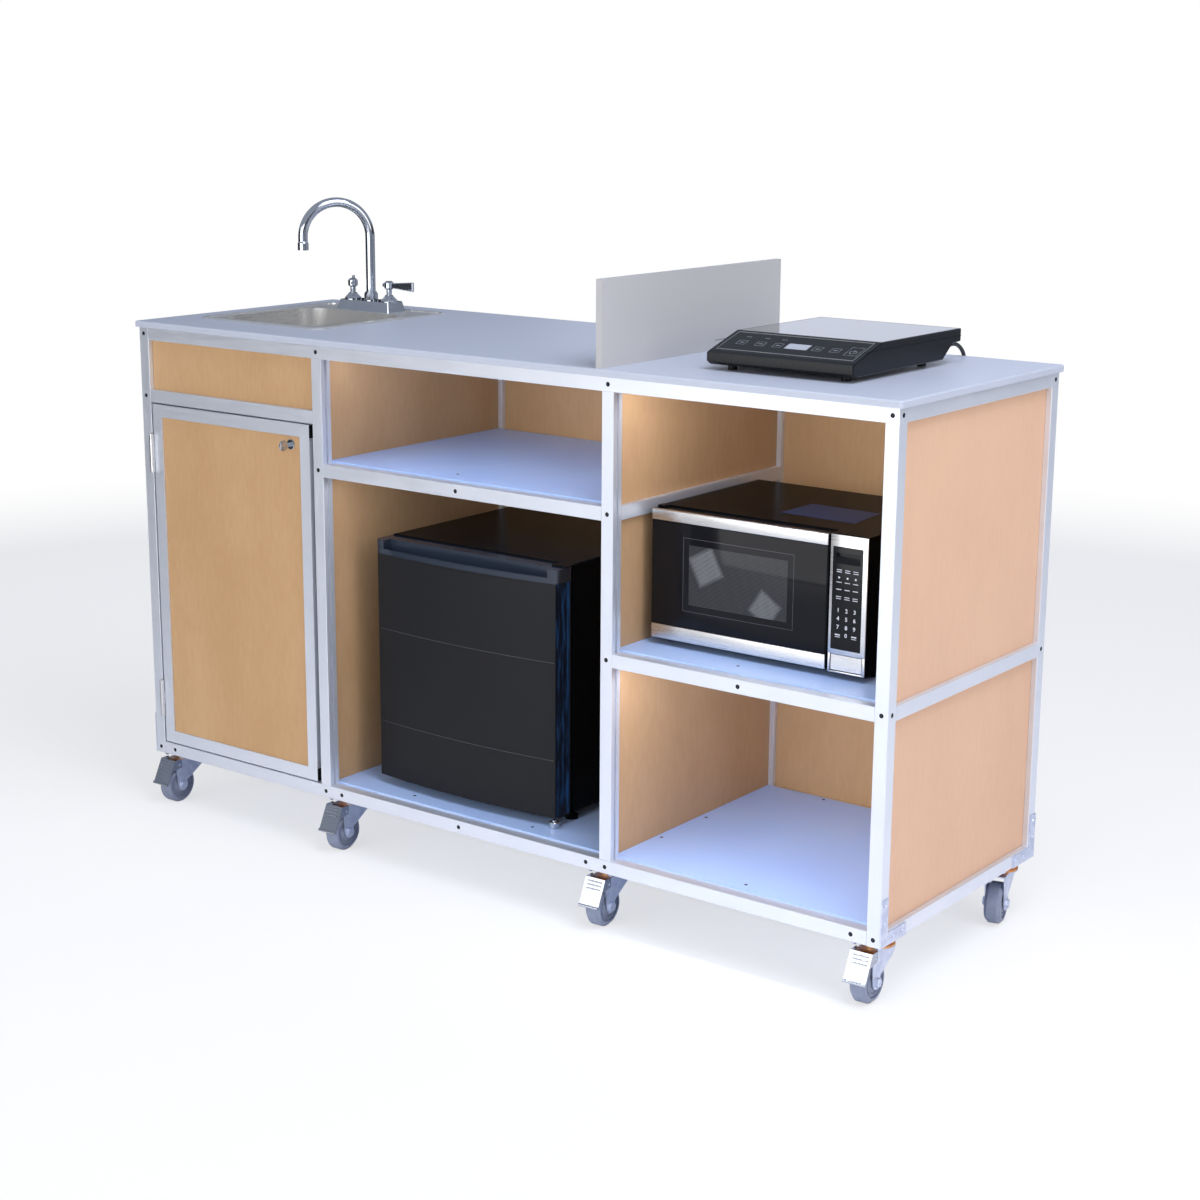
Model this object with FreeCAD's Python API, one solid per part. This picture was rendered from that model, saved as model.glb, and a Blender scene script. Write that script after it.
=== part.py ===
import FreeCAD, Part
import math
import os

Vector = FreeCAD.Vector

# Portable kitchen on casters: slotted aluminium frame, maple panels, bar sink with
# faucet, lockable cabinet, compact fridge, microwave oven and induction cooktop.
# Millimetres. Origin on the floor under the middle of the frame, +Z up, front faces -Y.

# Frame
frame_length = 1720.0
frame_depth = 551.0
post_height = 880.5
profile_side = 25.0
profile_wall = 1.5
profile_chamfer = 0.8
slot_width = 5.0
slot_depth = 6.0
second_post_share = 0.282
third_post_share = 0.6767
upper_shelf_rail_height = 646.0
lower_shelf_rail_height = 390.5
fascia_rail_drop = 136.0
caster_bar_pitch = 42.0
overrun = 5.0
clearance = 0.3
fit_clearance = 0.08

# Sheets and boards
panel_thickness = 4.0
panel_in_slot = 5.0
deck_thickness = 3.0
worktop_thickness = 12.0
worktop_overhang = 6.4
worktop_corner_radius = 5.0
worktop_edge_radius = 3.0
splash_thickness = 12.0
splash_height = 149.0
splash_before_post = 26.0

# Corner plates
plate_thickness = 2.0
plate_leg = 82.0
plate_width = 22.0
screw_head_radius = 4.2
screw_head_height = 2.4

# Casters
wheel_radius = 37.5
wheel_width = 30.0
wheel_hub_radius = 17.0
wheel_tread_round = 6.0
wheel_dish = 3.0
wheel_rim_share = 0.74
wheel_ring_shares = (0.55, 0.62)
wheel_crown_gap = 15.0
axle_radius = 5.0
axle_nut_radius = 8.5
axle_nut_height = 5.0
caster_trail = 33.0
caster_inset = 54.0
mount_plate_width = 60.0
mount_plate_length = 92.0
mount_plate_thickness = 3.0
race_radius = 29.0
race_height = 10.5
kingpin_radius = 6.0
fork_sheet = 2.2
fork_side_gap = 1.0
fork_back_reach = 27.0
fork_front_reach = 50.0
fork_leg_end_radius = 12.5
fork_tail_lean = 35.0
fork_shoulder = 17.0
pedal_sheet = 2.0
pedal_pivot_reach = 43.0
pedal_pivot_drop = 9.5
pedal_pin_radius = 3.0
pedal_lip_radius = 2.6
pedal_rib_height = 0.9
pedal_rib_count = 3
pedal_first_rib_share = 0.12
pedal_rib_step_share = 0.13
front_caster_yaw = (0.0, 2.0, 3.0, 2.0)
rear_caster_yaw = (-9.0, 6.0, -4.0, 14.0)

# Cabinet door
door_gap_left = 5.0
door_gap_right = 9.5
door_gap_below = 3.0
door_gap_above = 3.0
door_cap_thickness = 2.0
door_slot_inset = 5.5
hinge_leaf_thickness = 1.8
hinge_leaf_depth = 21.0
hinge_length = 77.0
hinge_knuckle_radius = 4.5
hinge_pin_radius = 2.2
hinge_from_bottom = 92.0
hinge_from_top = 99.0
lock_from_right = 51.0
lock_from_top = 42.0
lock_face_radius = 10.0
lock_face_height = 2.6
lock_body_radius = 8.0
lock_body_length = 24.0
lock_plug_radius = 5.5
lock_nut_radius = 11.5
lock_nut_height = 3.5
cam_length = 58.0
cam_width = 13.0
cam_thickness = 2.2
key_bow_width = 24.0
key_bow_height = 21.0
key_thickness = 2.0
key_shank = 9.0

# Sink
sink_from_left = 56.0
sink_from_front = 107.5
sink_width = 331.0
sink_from_back = 64.5
sink_corner_radius = 20.0
sink_sheet = 1.2
sink_rim_rise = 3.2
sink_rim_bead = 9.0
sink_rim_rest = 14.0
sink_side_ledge = 28.0
sink_rear_ledge = 88.0
sink_bowl_depth = 150.0
sink_bowl_corner_radius = 48.0
sink_bowl_floor_radius = 22.0
drain_hole_radius = 41.0
drain_flange_radius = 55.0
drain_cup_depth = 42.0
drain_nut_radius = 50.0
drain_nut_height = 9.0
tailpiece_radius = 16.0

# Faucet
faucet_from_sink_left = 160.0
faucet_from_sink_back = 45.5
faucet_base_length = 144.0
faucet_base_width = 57.0
faucet_base_taper = 5.0
faucet_base_height = 20.0
faucet_base_corner = 4.0
faucet_shank_radius = 10.3
faucet_shank_length = 48.0
faucet_shank_nut_radius = 17.0
faucet_shank_nut_height = 7.0
handle_spread = 51.0
spout_tube_radius = 9.6
spout_bend_radius = 70.8
spout_bend_height = 152.0
spout_outlet_height = 127.0
spout_yaw = -31.2
spout_seat_depth = 12.0
collar_radius = 14.2
collar_height = 17.0
aerator_radius = 11.0
aerator_height = 17.5
escutcheon_radius = 17.0
escutcheon_height = 13.0
handle_stem_radius = 5.5
handle_stem_seat = 8.0
handle_hub_radius = 10.0
handle_hub_height = 17.0
handle_hub_centre = 54.5
handle_reach = 67.0
hot_handle_yaw = 132.0
cold_handle_yaw = 0.0

# Water tanks and pump
tank_length = 330.0
tank_height = 380.0
tank_wall = 3.0
tank_edge_radius = 26.0
tank_neck_radius = 27.0
tank_neck_height = 22.0
tank_neck_inset = 30.0
tank_cap_height = 14.0
waste_tank_from_left = 42.0
tank_gap = 10.0
fresh_tank_side_gap = 15.0
pump_body_radius = 28.0
pump_body_length = 96.0
pump_head_side = 66.0
pump_head_length = 42.0
pump_foot_thickness = 3.0
pump_height = 560.0
pump_from_back = 151.0
hose_radius = 5.0

# Fridge
fridge_side_share = 0.31
fridge_from_front = 74.0
fridge_width = 440.0
fridge_height = 472.0
fridge_from_back = 36.0
fridge_foot_height = 15.0
fridge_foot_radius = 12.0
fridge_wall = 38.0
fridge_edge_radius = 6.0
fridge_door_edge_radius = 9.0
fridge_door_thickness = 46.0
fridge_door_bow = 14.0
fridge_lip_bow = 16.0
fridge_door_gap = 1.6
fridge_hinge_inset = 11.0
fridge_pin_radius = 4.0
fridge_bracket_thickness = 2.5
fridge_handle_height = 26.0
fridge_lip_height = 10.0
fridge_lip_thickness = 5.0
fridge_grip_depth = 16.0
fridge_groove_depth = 24.0
fridge_grip_end = 22.0
fridge_shelf_thickness = 4.0
fridge_shelf_rib = 5.0

# Microwave
oven_side_share = 0.22
oven_from_front = 96.0
oven_width = 430.0
oven_height = 234.0
oven_depth = 330.0
oven_foot_height = 9.5
oven_foot_radius = 11.0
oven_edge_radius = 3.0
oven_control_width = 75.0
oven_door_thickness = 27.0
oven_door_gap = 1.0
oven_hinge_inset = 8.0
oven_hinge_pin_radius = 2.5
oven_window_from_left = 63.0
oven_window_from_right = 87.0
oven_window_margin = 55.0
oven_window_recess = 1.5
oven_wall = 18.0
oven_floor = 25.2
oven_ceiling = 32.8
oven_cavity_from_control = 31.0
turntable_side_gap = 18.0
turntable_plate = 5.0
turntable_lift = 9.0
turntable_hub_radius = 15.0
turntable_drive_radius = 7.0
button_side_gap = 7.0
button_height = 26.5
button_rise = 5.0
button_travel = 4.0
button_depth = 12.0

# Induction cooktop
cooktop_from_right = 146.0
cooktop_from_front = 105.0
cooktop_width = 284.0
cooktop_depth = 360.0
cooktop_body_height = 50.0
cooktop_foot_height = 9.0
cooktop_foot_radius = 8.0
cooktop_edge_radius = 3.0
cooktop_glass_thickness = 4.0
cooktop_glass_margin = 5.0
# Side outline as shares of depth and body height, from the low front edge round
cooktop_outline_shares = (
    (0.03, 0.0), (0.0, 0.12), (0.0, 0.42), (0.02, 0.48), (0.25, 1.0),
    (1.0, 1.0), (1.0, 0.56), (0.92, 0.52), (0.83, 0.03),
)
cooktop_glass_start_share = 0.262
gland_radius = 6.0
gland_from_right = 34.0
gland_height_share = 0.30
gland_start_share = 0.85
gland_end_share = 0.947

# Cord
cord_radius = 3.5
cord_bend_share = 0.45
cord_route = [
    (680.0, 170.4, 1022.5), (680.0, 198.0, 1022.5), (678.0, 236.0, 1025.5),
    (674.0, 270.0, 1012.0), (668.5, 293.0, 993.0), (666.0, 300.0, 955.0),
    (664.0, 303.0, 900.0), (660.0, 302.0, 805.0), (655.0, 305.5, 703.0),
    (653.0, 303.0, 601.0), (648.0, 306.0, 500.0), (646.0, 304.0, 400.0),
    (641.0, 307.0, 303.0), (639.0, 306.0, 208.0), (637.0, 312.0, 128.0),
    (636.0, 325.0, 76.0), (634.0, 345.0, 39.0), (628.0, 368.0, 13.0),
    (605.0, 386.0, 3.6), (575.0, 386.0, 3.6),
]
plug_route = [
    (575.0, 304.0, 11.3), (593.0, 304.0, 11.3), (612.0, 301.0, 9.0),
    (631.0, 297.5, 11.2), (648.0, 297.5, 11.2),
]
coil_centre = (568.0, 345.0)
coil_radii_inward = (41.0, 37.5, 33.0)
coil_radii_outward = (32.0, 38.0, 41.0)
coil_layer_rise = 7.7
plug_length = 36.0
plug_width = 26.0
plug_height = 22.4
plug_relief_length = 16.0
plug_blade_length = 17.0
plug_blade_height = 6.3
plug_blade_thickness = 1.5
plug_blade_spacing = 12.7
plug_ground_radius = 2.4

# Lines and levels that the pieces share
left = -frame_length / 2
right = frame_length / 2
front = -frame_depth / 2
back = frame_depth / 2
wheel_top = wheel_radius * 2
crown_above_floor = wheel_top + wheel_crown_gap + fork_sheet
caster_height = crown_above_floor + clearance + race_height + mount_plate_thickness
base = caster_height
top = base + post_height
half = profile_side / 2
worktop_top = top + worktop_thickness
post_lines = (left + half, left + frame_length * second_post_share,
              left + frame_length * third_post_share, right - half)
upper_rail = base + upper_shelf_rail_height
lower_rail = base + lower_shelf_rail_height
fascia_rail = top - fascia_rail_drop
rail_front = front + profile_side
rail_back = back - profile_side
deck_top = base + profile_side + deck_thickness
upper_shelf_top = upper_rail + half + deck_thickness
lower_shelf_top = lower_rail + half + deck_thickness
parts_folder = "parts"

FORWARD = Vector(0, -1, 0)
BACKWARD = Vector(0, 1, 0)
RIGHT = Vector(1, 0, 0)
UP = Vector(0, 0, 1)
DOWN = Vector(0, 0, -1)
CENTRE = Vector(0, 0, 0)


# Shared shape helpers
def box(x0, x1, y0, y1, z0, z1):
    return Part.makeBox(x1 - x0, y1 - y0, z1 - z0, Vector(x0, y0, z0))


def cylinder(point, axis, radius, length):
    return Part.makeCylinder(radius, length, Vector(*point), axis)


def prism(points, reach):
    corners = [Vector(*point) for point in points]
    return Part.Face(Part.makePolygon(corners + corners[:1])).extrude(reach)


def turned(points, centre):
    """Solid turned about the upright line through centre; points are (radius, z)."""
    corners = [Vector(radius, 0, z) for radius, z in points]
    solid = Part.Face(Part.makePolygon(corners + corners[:1])).revolve(CENTRE, UP, 360)
    solid.translate(Vector(centre[0], centre[1], 0))
    return solid


def is_upright(edge):
    first, last = edge.Vertexes[0].Point, edge.Vertexes[-1].Point
    return abs(first.z - last.z) > abs(first.x - last.x) + abs(first.y - last.y)


def round_upright(solid, radius):
    return solid.makeFillet(radius, [edge for edge in solid.Edges if is_upright(edge)])


def edges_at_height(solid, z):
    return [edge for edge in solid.Edges
            if all(abs(vertex.Point.z - z) < fit_clearance for vertex in edge.Vertexes)]


def fuse(shapes):
    return shapes[0].multiFuse(shapes[1:]).removeSplitter() if len(shapes) > 1 else shapes[0]


def turn_about(shape, centre, degrees):
    shape.rotate(Vector(*centre), UP, degrees)
    return shape


def save(name, shapes):
    solids = [solid for shape in shapes for solid in shape.Solids]
    Part.makeCompound(solids).exportStep(f"{parts_folder}/{name}.step")


# Slotted extrusion
bar_axes = {
    "x": (BACKWARD, UP, RIGHT, ("+y", "+z", "-y", "-z")),
    "y": (RIGHT, UP, BACKWARD, ("+x", "+z", "-x", "-z")),
    "z": (RIGHT, BACKWARD, UP, ("+x", "+y", "-x", "-y")),
}


def quarter_turned(point, turns):
    u, v = point
    for _ in range(turns):
        u, v = -v, u
    return u, v


def notched_square(reach, notch_half, notch_depth, notched):
    """Corner points of a chamfered square with a notch in each named side."""
    points = []
    for side in range(4):
        run = [(reach, profile_chamfer - reach)]
        if side in notched:
            run += [(reach, -notch_half), (reach - notch_depth, -notch_half)]
            run += [(reach - notch_depth, notch_half), (reach, notch_half)]
        run.append((reach, reach - profile_chamfer))
        points += [quarter_turned(point, side) for point in run]
    return points


def bar(axis, centre, start, end, slots=()):
    """Hollow square extrusion along an axis, with panel slots in the named faces."""
    across, upward, along, names = bar_axes[axis]
    origin = across * centre[0] + upward * centre[1] + along * start
    notched = [names.index(slot) for slot in slots]
    outer = notched_square(half, slot_width / 2, slot_depth, notched)
    inner = notched_square(half - profile_wall, slot_width / 2 + profile_wall, slot_depth, notched)
    faces = []
    for outline in (outer, inner):
        corners = [origin + across * u + upward * v for u, v in outline]
        faces.append(Part.Face(Part.makePolygon(corners + corners[:1])))
    return faces[0].cut(faces[1]).extrude(along * (end - start))


def caster_bar_lines():
    return (post_lines[0] + caster_bar_pitch, post_lines[1] + caster_bar_pitch,
            post_lines[2] - caster_bar_pitch, post_lines[3] - caster_bar_pitch)


def make_frame_posts():
    sides = (("+x",), ("+x", "-x"), ("+x", "-x"), ("-x",))
    posts = []
    for number, (x, side) in enumerate(zip(post_lines, sides)):
        ends = (base, top)
        if number in (1, 2):
            ends = (base + profile_side, top - profile_side)
        posts.append(bar("z", (x, front + half), *ends, side + ("+y",)))
        posts.append(bar("z", (x, back - half), *ends, side + ("-y",)))
    save("frame_posts", posts)


def long_rails():
    span = (left + profile_side, right - profile_side)
    low, high = base + half, top - half
    rails = [
        bar("x", (front + half, low), *span),
        bar("x", (front + half, high), *span, ("-z",)),
        bar("x", (back - half, low), *span, ("+z",)),
        bar("x", (back - half, high), *span, ("-z",)),
    ]
    cabinet = (post_lines[0] + half, post_lines[1] - half)
    middle = (post_lines[1] + half, post_lines[2] - half)
    end_bay = (post_lines[2] + half, post_lines[3] - half)
    rails.append(bar("x", (front + half, fascia_rail), *cabinet, ("+z",)))
    rails.append(bar("x", (front + half, upper_rail), *middle))
    rails.append(bar("x", (back - half, upper_rail), *middle, ("+z", "-z")))
    rails.append(bar("x", (front + half, lower_rail), *end_bay))
    rails.append(bar("x", (back - half, lower_rail), *end_bay, ("+z", "-z")))
    return rails


def cross_rails():
    span = (rail_front, rail_back)
    rails = []
    for x in post_lines:
        rails.append(bar("y", (x, base + half), *span, ("+z",)))
        rails.append(bar("y", (x, top - half), *span, ("-z",)))
    for x in (post_lines[0], post_lines[2], post_lines[3]):
        rails.append(bar("y", (x, lower_rail), *span, ("+z", "-z")))
    for x in post_lines[1:3]:
        rails.append(bar("y", (x, upper_rail), *span, ("+z", "-z")))
    for x in caster_bar_lines():
        rails.append(bar("y", (x, base + half), *span))
    bay_middles = ((post_lines[1] + post_lines[2]) / 2, (post_lines[2] + post_lines[3]) / 2)
    rails.append(bar("y", (bay_middles[0], base + half), *span))
    rails.append(bar("y", (bay_middles[1], base + half), *span))
    rails.append(bar("y", (bay_middles[0], upper_rail), *span))
    rails.append(bar("y", (bay_middles[1], lower_rail), *span))
    return rails


def make_corner_plates():
    pieces = []
    for side, x in ((-1, left), (1, right)):
        inner, outer = sorted((x, x + side * plate_thickness))
        for y, inward in ((front, 1), (back, -1)):
            def place(reach, rise):
                return (inner, y + inward * reach, base + rise)
            outline = [place(0, 0), place(plate_leg, 0), place(plate_leg, plate_width)]
            outline += [place(plate_width, plate_width), place(plate_width, plate_leg), place(0, plate_leg)]
            pieces.append(prism(outline, Vector(outer - inner, 0, 0)))
            middle = plate_width / 2
            spots = ((middle, plate_leg / 2), (middle, plate_leg - middle))
            spots += ((plate_leg / 2, middle), (plate_leg - middle, middle))
            for reach, rise in spots:
                start = (x + side * plate_thickness, y + inward * reach, base + rise)
                head = cylinder(start, RIGHT * side, screw_head_radius, screw_head_height)
                rim = [edge for edge in head.Edges
                       if abs(edge.CenterOfMass.x - start[0]) > screw_head_height / 2
                       and len(edge.Vertexes) == 1]
                pieces.append(head.makeChamfer(screw_head_height / 2, rim))
    save("corner_plates", pieces)


# Panels in the slots, decks and shelves
def side_panel(x, z0, z1):
    """Upright board between two posts; its corners are notched where rails meet the posts."""
    sides = (x - panel_thickness / 2, x + panel_thickness / 2)
    across = box(*sides, rail_front - panel_in_slot, rail_back + panel_in_slot, z0, z1)
    upright = box(*sides, rail_front, rail_back, z0 - panel_in_slot, z1 + panel_in_slot)
    return fuse([across, upright])


def back_panel(x0, x1, z0, z1):
    y = back - half
    return box(x0 + half - panel_in_slot, x1 - half + panel_in_slot, y - panel_thickness / 2,
               y + panel_thickness / 2, z0 - panel_in_slot, z1 + panel_in_slot)


def make_panels():
    low, high = base + profile_side, top - profile_side
    lower_gap = (lower_rail - half, lower_rail + half)
    upper_gap = (upper_rail - half, upper_rail + half)
    sides = []
    for x in (post_lines[0], post_lines[3]):
        sides.append(side_panel(x, low, lower_gap[0]))
        sides.append(side_panel(x, lower_gap[1], high))
    save("side_panels", sides)
    partitions = [side_panel(post_lines[1], low, upper_gap[0]), side_panel(post_lines[1], upper_gap[1], high)]
    partitions.append(side_panel(post_lines[2], low, lower_gap[0]))
    partitions.append(side_panel(post_lines[2], lower_gap[1], upper_gap[0]))
    partitions.append(side_panel(post_lines[2], upper_gap[1], high))
    save("partition_panels", partitions)
    backs = [back_panel(post_lines[0], post_lines[1], low, high)]
    backs.append(back_panel(post_lines[1], post_lines[2], low, upper_gap[0]))
    backs.append(back_panel(post_lines[1], post_lines[2], upper_gap[1], high))
    backs.append(back_panel(post_lines[2], post_lines[3], low, lower_gap[0]))
    backs.append(back_panel(post_lines[2], post_lines[3], lower_gap[1], high))
    save("back_panels", backs)
    y = front + half
    fascia = box(post_lines[0] + half - panel_in_slot, post_lines[1] - half + panel_in_slot,
                 y - panel_thickness / 2, y + panel_thickness / 2,
                 fascia_rail + half - panel_in_slot, high + panel_in_slot)
    save("fascia_panel", [fascia])


def deck(x0, x1, z):
    beside = panel_thickness / 2 + clearance
    return box(x0 + beside, x1 - beside, rail_front + clearance, rail_back - clearance,
               z - deck_thickness, z)


def make_decks():
    bays = zip(post_lines[:3], post_lines[1:])
    save("base_deck", [deck(x0, x1, deck_top) for x0, x1 in bays])
    save("upper_shelf", [deck(post_lines[1], post_lines[2], upper_shelf_top)])
    save("lower_shelf", [deck(post_lines[2], post_lines[3], lower_shelf_top)])


# Sink outline in plan, grown or shrunk
sink_left = left + sink_from_left
sink_right = sink_left + sink_width
sink_front = front + sink_from_front
sink_back = back - sink_from_back
bowl_left = sink_left + sink_side_ledge
bowl_right = sink_right - sink_side_ledge
bowl_front = sink_front + sink_side_ledge
bowl_back = sink_back - sink_rear_ledge
drain_centre = ((bowl_left + bowl_right) / 2, (bowl_front + bowl_back) / 2)
bowl_floor = worktop_top + sink_sheet - sink_bowl_depth


def rounded_block(x0, x1, y0, y1, z0, z1, radius):
    return round_upright(box(x0, x1, y0, y1, z0, z1), radius)


def make_worktop():
    slab = rounded_block(left - worktop_overhang, right + worktop_overhang, front - worktop_overhang,
                         back + worktop_overhang, top, worktop_top, worktop_corner_radius)
    slab = slab.makeFillet(worktop_edge_radius, edges_at_height(slab, worktop_top))
    hole = rounded_block(sink_left + sink_rim_rest, sink_right - sink_rim_rest, sink_front + sink_rim_rest,
                         sink_back - sink_rim_rest, top - overrun, worktop_top + overrun,
                         sink_corner_radius)
    save("worktop", [slab.cut(hole)])
    x = post_lines[2] - splash_before_post
    divider = box(x, x + splash_thickness, front, back, worktop_top, worktop_top + splash_height)
    save("splash_divider", [divider])


def make_sink():
    rim_top = worktop_top + sink_rim_rise
    ledge_top = worktop_top + sink_sheet
    outer = rounded_block(sink_left, sink_right, sink_front, sink_back, worktop_top, rim_top,
                          sink_corner_radius)
    outer = outer.makeChamfer(sink_rim_rise - sink_sheet / 2, edges_at_height(outer, rim_top))
    tray = rounded_block(sink_left + sink_rim_bead, sink_right - sink_rim_bead, sink_front + sink_rim_bead,
                         sink_back - sink_rim_bead, ledge_top, rim_top + overrun,
                         sink_corner_radius - sink_rim_bead / 2)
    rim = outer.cut(tray)

    def bowl_block(grow, bottom, height):
        block = rounded_block(bowl_left - grow, bowl_right + grow, bowl_front - grow, bowl_back + grow,
                              bottom, height, sink_bowl_corner_radius + grow)
        return block.makeFillet(sink_bowl_floor_radius + grow, edges_at_height(block, bottom))

    shell = bowl_block(sink_sheet, bowl_floor - sink_sheet, ledge_top)
    hollow = bowl_block(0, bowl_floor, rim_top + overrun)
    under_floor = (*drain_centre, bowl_floor - sink_sheet - overrun)
    drain_hole = cylinder(under_floor, UP, drain_hole_radius, overrun * 3)
    sink = rim.fuse(shell).cut(hollow).cut(drain_hole)
    for offset in (-handle_spread, 0, handle_spread):
        spot = (faucet_x + offset, faucet_y, worktop_top - overrun)
        sink = sink.cut(cylinder(spot, UP, faucet_shank_radius + clearance, overrun * 3))
    save("sink_bowl", [sink])


def make_drain():
    floor = bowl_floor
    under = floor - sink_sheet
    cup_floor = floor - drain_cup_depth
    wall = sink_sheet * 2
    body_radius = drain_hole_radius - clearance
    lip = (drain_flange_radius, floor)
    tail_bottom = deck_top + tank_height + tank_neck_height / 2
    profile = [
        lip, (drain_flange_radius, floor + sink_sheet), (body_radius - wall, floor + sink_sheet),
        (body_radius - wall, cup_floor + wall), (tailpiece_radius - wall, cup_floor + wall),
        (tailpiece_radius - wall, tail_bottom), (tailpiece_radius, tail_bottom),
        (tailpiece_radius, cup_floor), (body_radius, cup_floor), (body_radius, floor),
    ]
    body = turned(profile, drain_centre)
    nut = turned([(body_radius + fit_clearance, under), (drain_nut_radius, under),
                  (drain_nut_radius, under - drain_nut_height),
                  (body_radius + fit_clearance, under - drain_nut_height)], drain_centre)
    strainer_radius = body_radius - wall - clearance
    basket = turned([(0, cup_floor + wall), (strainer_radius / 2, cup_floor + wall),
                     (strainer_radius, floor), (strainer_radius - wall, floor),
                     (strainer_radius / 2 - wall, cup_floor + wall * 2), (0, cup_floor + wall * 2)],
                    drain_centre)
    save("sink_drain", [body, nut, basket])


# Faucet
faucet_x = sink_left + faucet_from_sink_left
faucet_y = sink_back - faucet_from_sink_back
faucet_seat = worktop_top + sink_sheet
faucet_base_top = faucet_seat + faucet_base_height


def make_faucet_base():
    def outline(shrink, z):
        reach = faucet_base_length / 2 - shrink
        depth = faucet_base_width / 2 - shrink
        block = rounded_block(faucet_x - reach, faucet_x + reach, faucet_y - depth, faucet_y + depth,
                              z, z + overrun, faucet_base_corner)
        return block.slice(UP, z + overrun / 2)[0].translated(Vector(0, 0, -overrun / 2))

    body = Part.makeLoft([outline(0, faucet_seat), outline(faucet_base_taper, faucet_base_top)], True, True)
    collar_top = faucet_base_top + collar_height
    band = collar_height / 5
    collar = turned([(0, faucet_base_top - overrun), (collar_radius, faucet_base_top - overrun),
                     (collar_radius, collar_top - band), (collar_radius - band / 2, collar_top - band),
                     (collar_radius - band / 2, collar_top), (0, collar_top)], (faucet_x, faucet_y))
    solid = body.fuse(collar)
    cone_top = faucet_base_top + escutcheon_height
    for offset in (-handle_spread, handle_spread):
        cone = turned([(0, faucet_base_top - overrun), (escutcheon_radius, faucet_base_top - overrun),
                       (escutcheon_radius, faucet_base_top + escutcheon_height / 4),
                       (handle_stem_radius * 2, faucet_base_top + escutcheon_height * 0.7),
                       (handle_stem_radius * 1.5, cone_top), (0, cone_top)], (faucet_x + offset, faucet_y))
        solid = solid.fuse(cone)
    for offset in (-handle_spread, handle_spread):
        centre = (faucet_x + offset, faucet_y, faucet_seat - faucet_shank_length)
        solid = solid.fuse(cylinder(centre, UP, faucet_shank_radius, faucet_shank_length + overrun))
    seat = cylinder((faucet_x, faucet_y, collar_top - spout_seat_depth), UP,
                    spout_tube_radius + fit_clearance, spout_seat_depth + overrun)
    solid = solid.cut(seat)
    for offset in (-handle_spread, handle_spread):
        centre = (faucet_x + offset, faucet_y, cone_top - handle_stem_seat)
        stem_bore = handle_stem_radius + fit_clearance
        solid = solid.cut(cylinder(centre, UP, stem_bore, handle_stem_seat + overrun))
    pieces = [solid.removeSplitter()]
    for offset in (-handle_spread, handle_spread):
        centre = (faucet_x + offset, faucet_y, worktop_top - faucet_shank_nut_height)
        nut = cylinder(centre, UP, faucet_shank_nut_radius, faucet_shank_nut_height)
        nut_bore = faucet_shank_radius + fit_clearance
        pieces.append(nut.cut(cylinder(centre, UP, nut_bore, faucet_shank_nut_height)))
    save("faucet_base", pieces)


def make_faucet_spout():
    bottom = faucet_base_top + collar_height - spout_seat_depth
    bend = worktop_top + spout_bend_height
    outlet = worktop_top + spout_outlet_height
    riser = cylinder((faucet_x, faucet_y, bottom), UP, spout_tube_radius, bend - bottom)
    ring = Part.Face(Part.Wire(Part.makeCircle(spout_tube_radius, Vector(faucet_x, faucet_y, bend), UP)))
    arch = ring.revolve(Vector(faucet_x, faucet_y - spout_bend_radius, bend), RIGHT, 180)
    tip_y = faucet_y - spout_bend_radius * 2
    drop = cylinder((faucet_x, tip_y, outlet), UP, spout_tube_radius, bend - outlet)
    step = aerator_height / 6
    inner = aerator_radius - step
    aerator = turned([(0, outlet + step), (inner, outlet + step), (inner, outlet), (aerator_radius, outlet),
                      (aerator_radius, outlet + aerator_height - step),
                      (aerator_radius - step / 2, outlet + aerator_height), (0, outlet + aerator_height)],
                     (faucet_x, tip_y))
    drop = drop.cut(cylinder((faucet_x, tip_y, outlet), UP, aerator_radius, step))
    spout = fuse([riser, arch, drop, aerator])
    save("faucet_spout", [turn_about(spout, (faucet_x, faucet_y, 0), spout_yaw)])


def make_handle(name, x, yaw):
    hub_middle = worktop_top + handle_hub_centre
    hub_low = hub_middle - handle_hub_height / 2
    hub_high = hub_middle + handle_hub_height / 2
    stem_low = faucet_base_top + escutcheon_height - handle_stem_seat + clearance
    edge = handle_hub_radius / 3
    hub = turned([(0, stem_low), (handle_stem_radius, stem_low), (handle_stem_radius, hub_low),
                  (handle_hub_radius - edge, hub_low), (handle_hub_radius, hub_low + edge),
                  (handle_hub_radius, hub_high - edge), (handle_hub_radius - edge, hub_high), (0, hub_high)],
                 (x, faucet_y))
    thin = handle_hub_radius * 0.8

    def blade_end(reach, width, height):
        corners = [Vector(x + reach, faucet_y + side * width / 2, hub_middle + rise * height / 2)
                   for side, rise in ((-1, -1), (1, -1), (1, 1), (-1, 1))]
        return Part.makePolygon(corners + corners[:1])

    blade = Part.makeLoft([blade_end(handle_hub_radius * 0.7, thin, handle_hub_height * 0.55),
                           blade_end(handle_reach, thin * 0.7, handle_hub_height * 1.15)], True, True)
    blade = blade.makeFillet(thin / 5, blade.Edges)
    index = cylinder((x, faucet_y, hub_middle), RIGHT * -1, thin / 2, handle_hub_radius * 1.5)
    handle = fuse([hub, blade, index])
    save(name, [turn_about(handle, (x, faucet_y, 0), yaw)])


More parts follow.
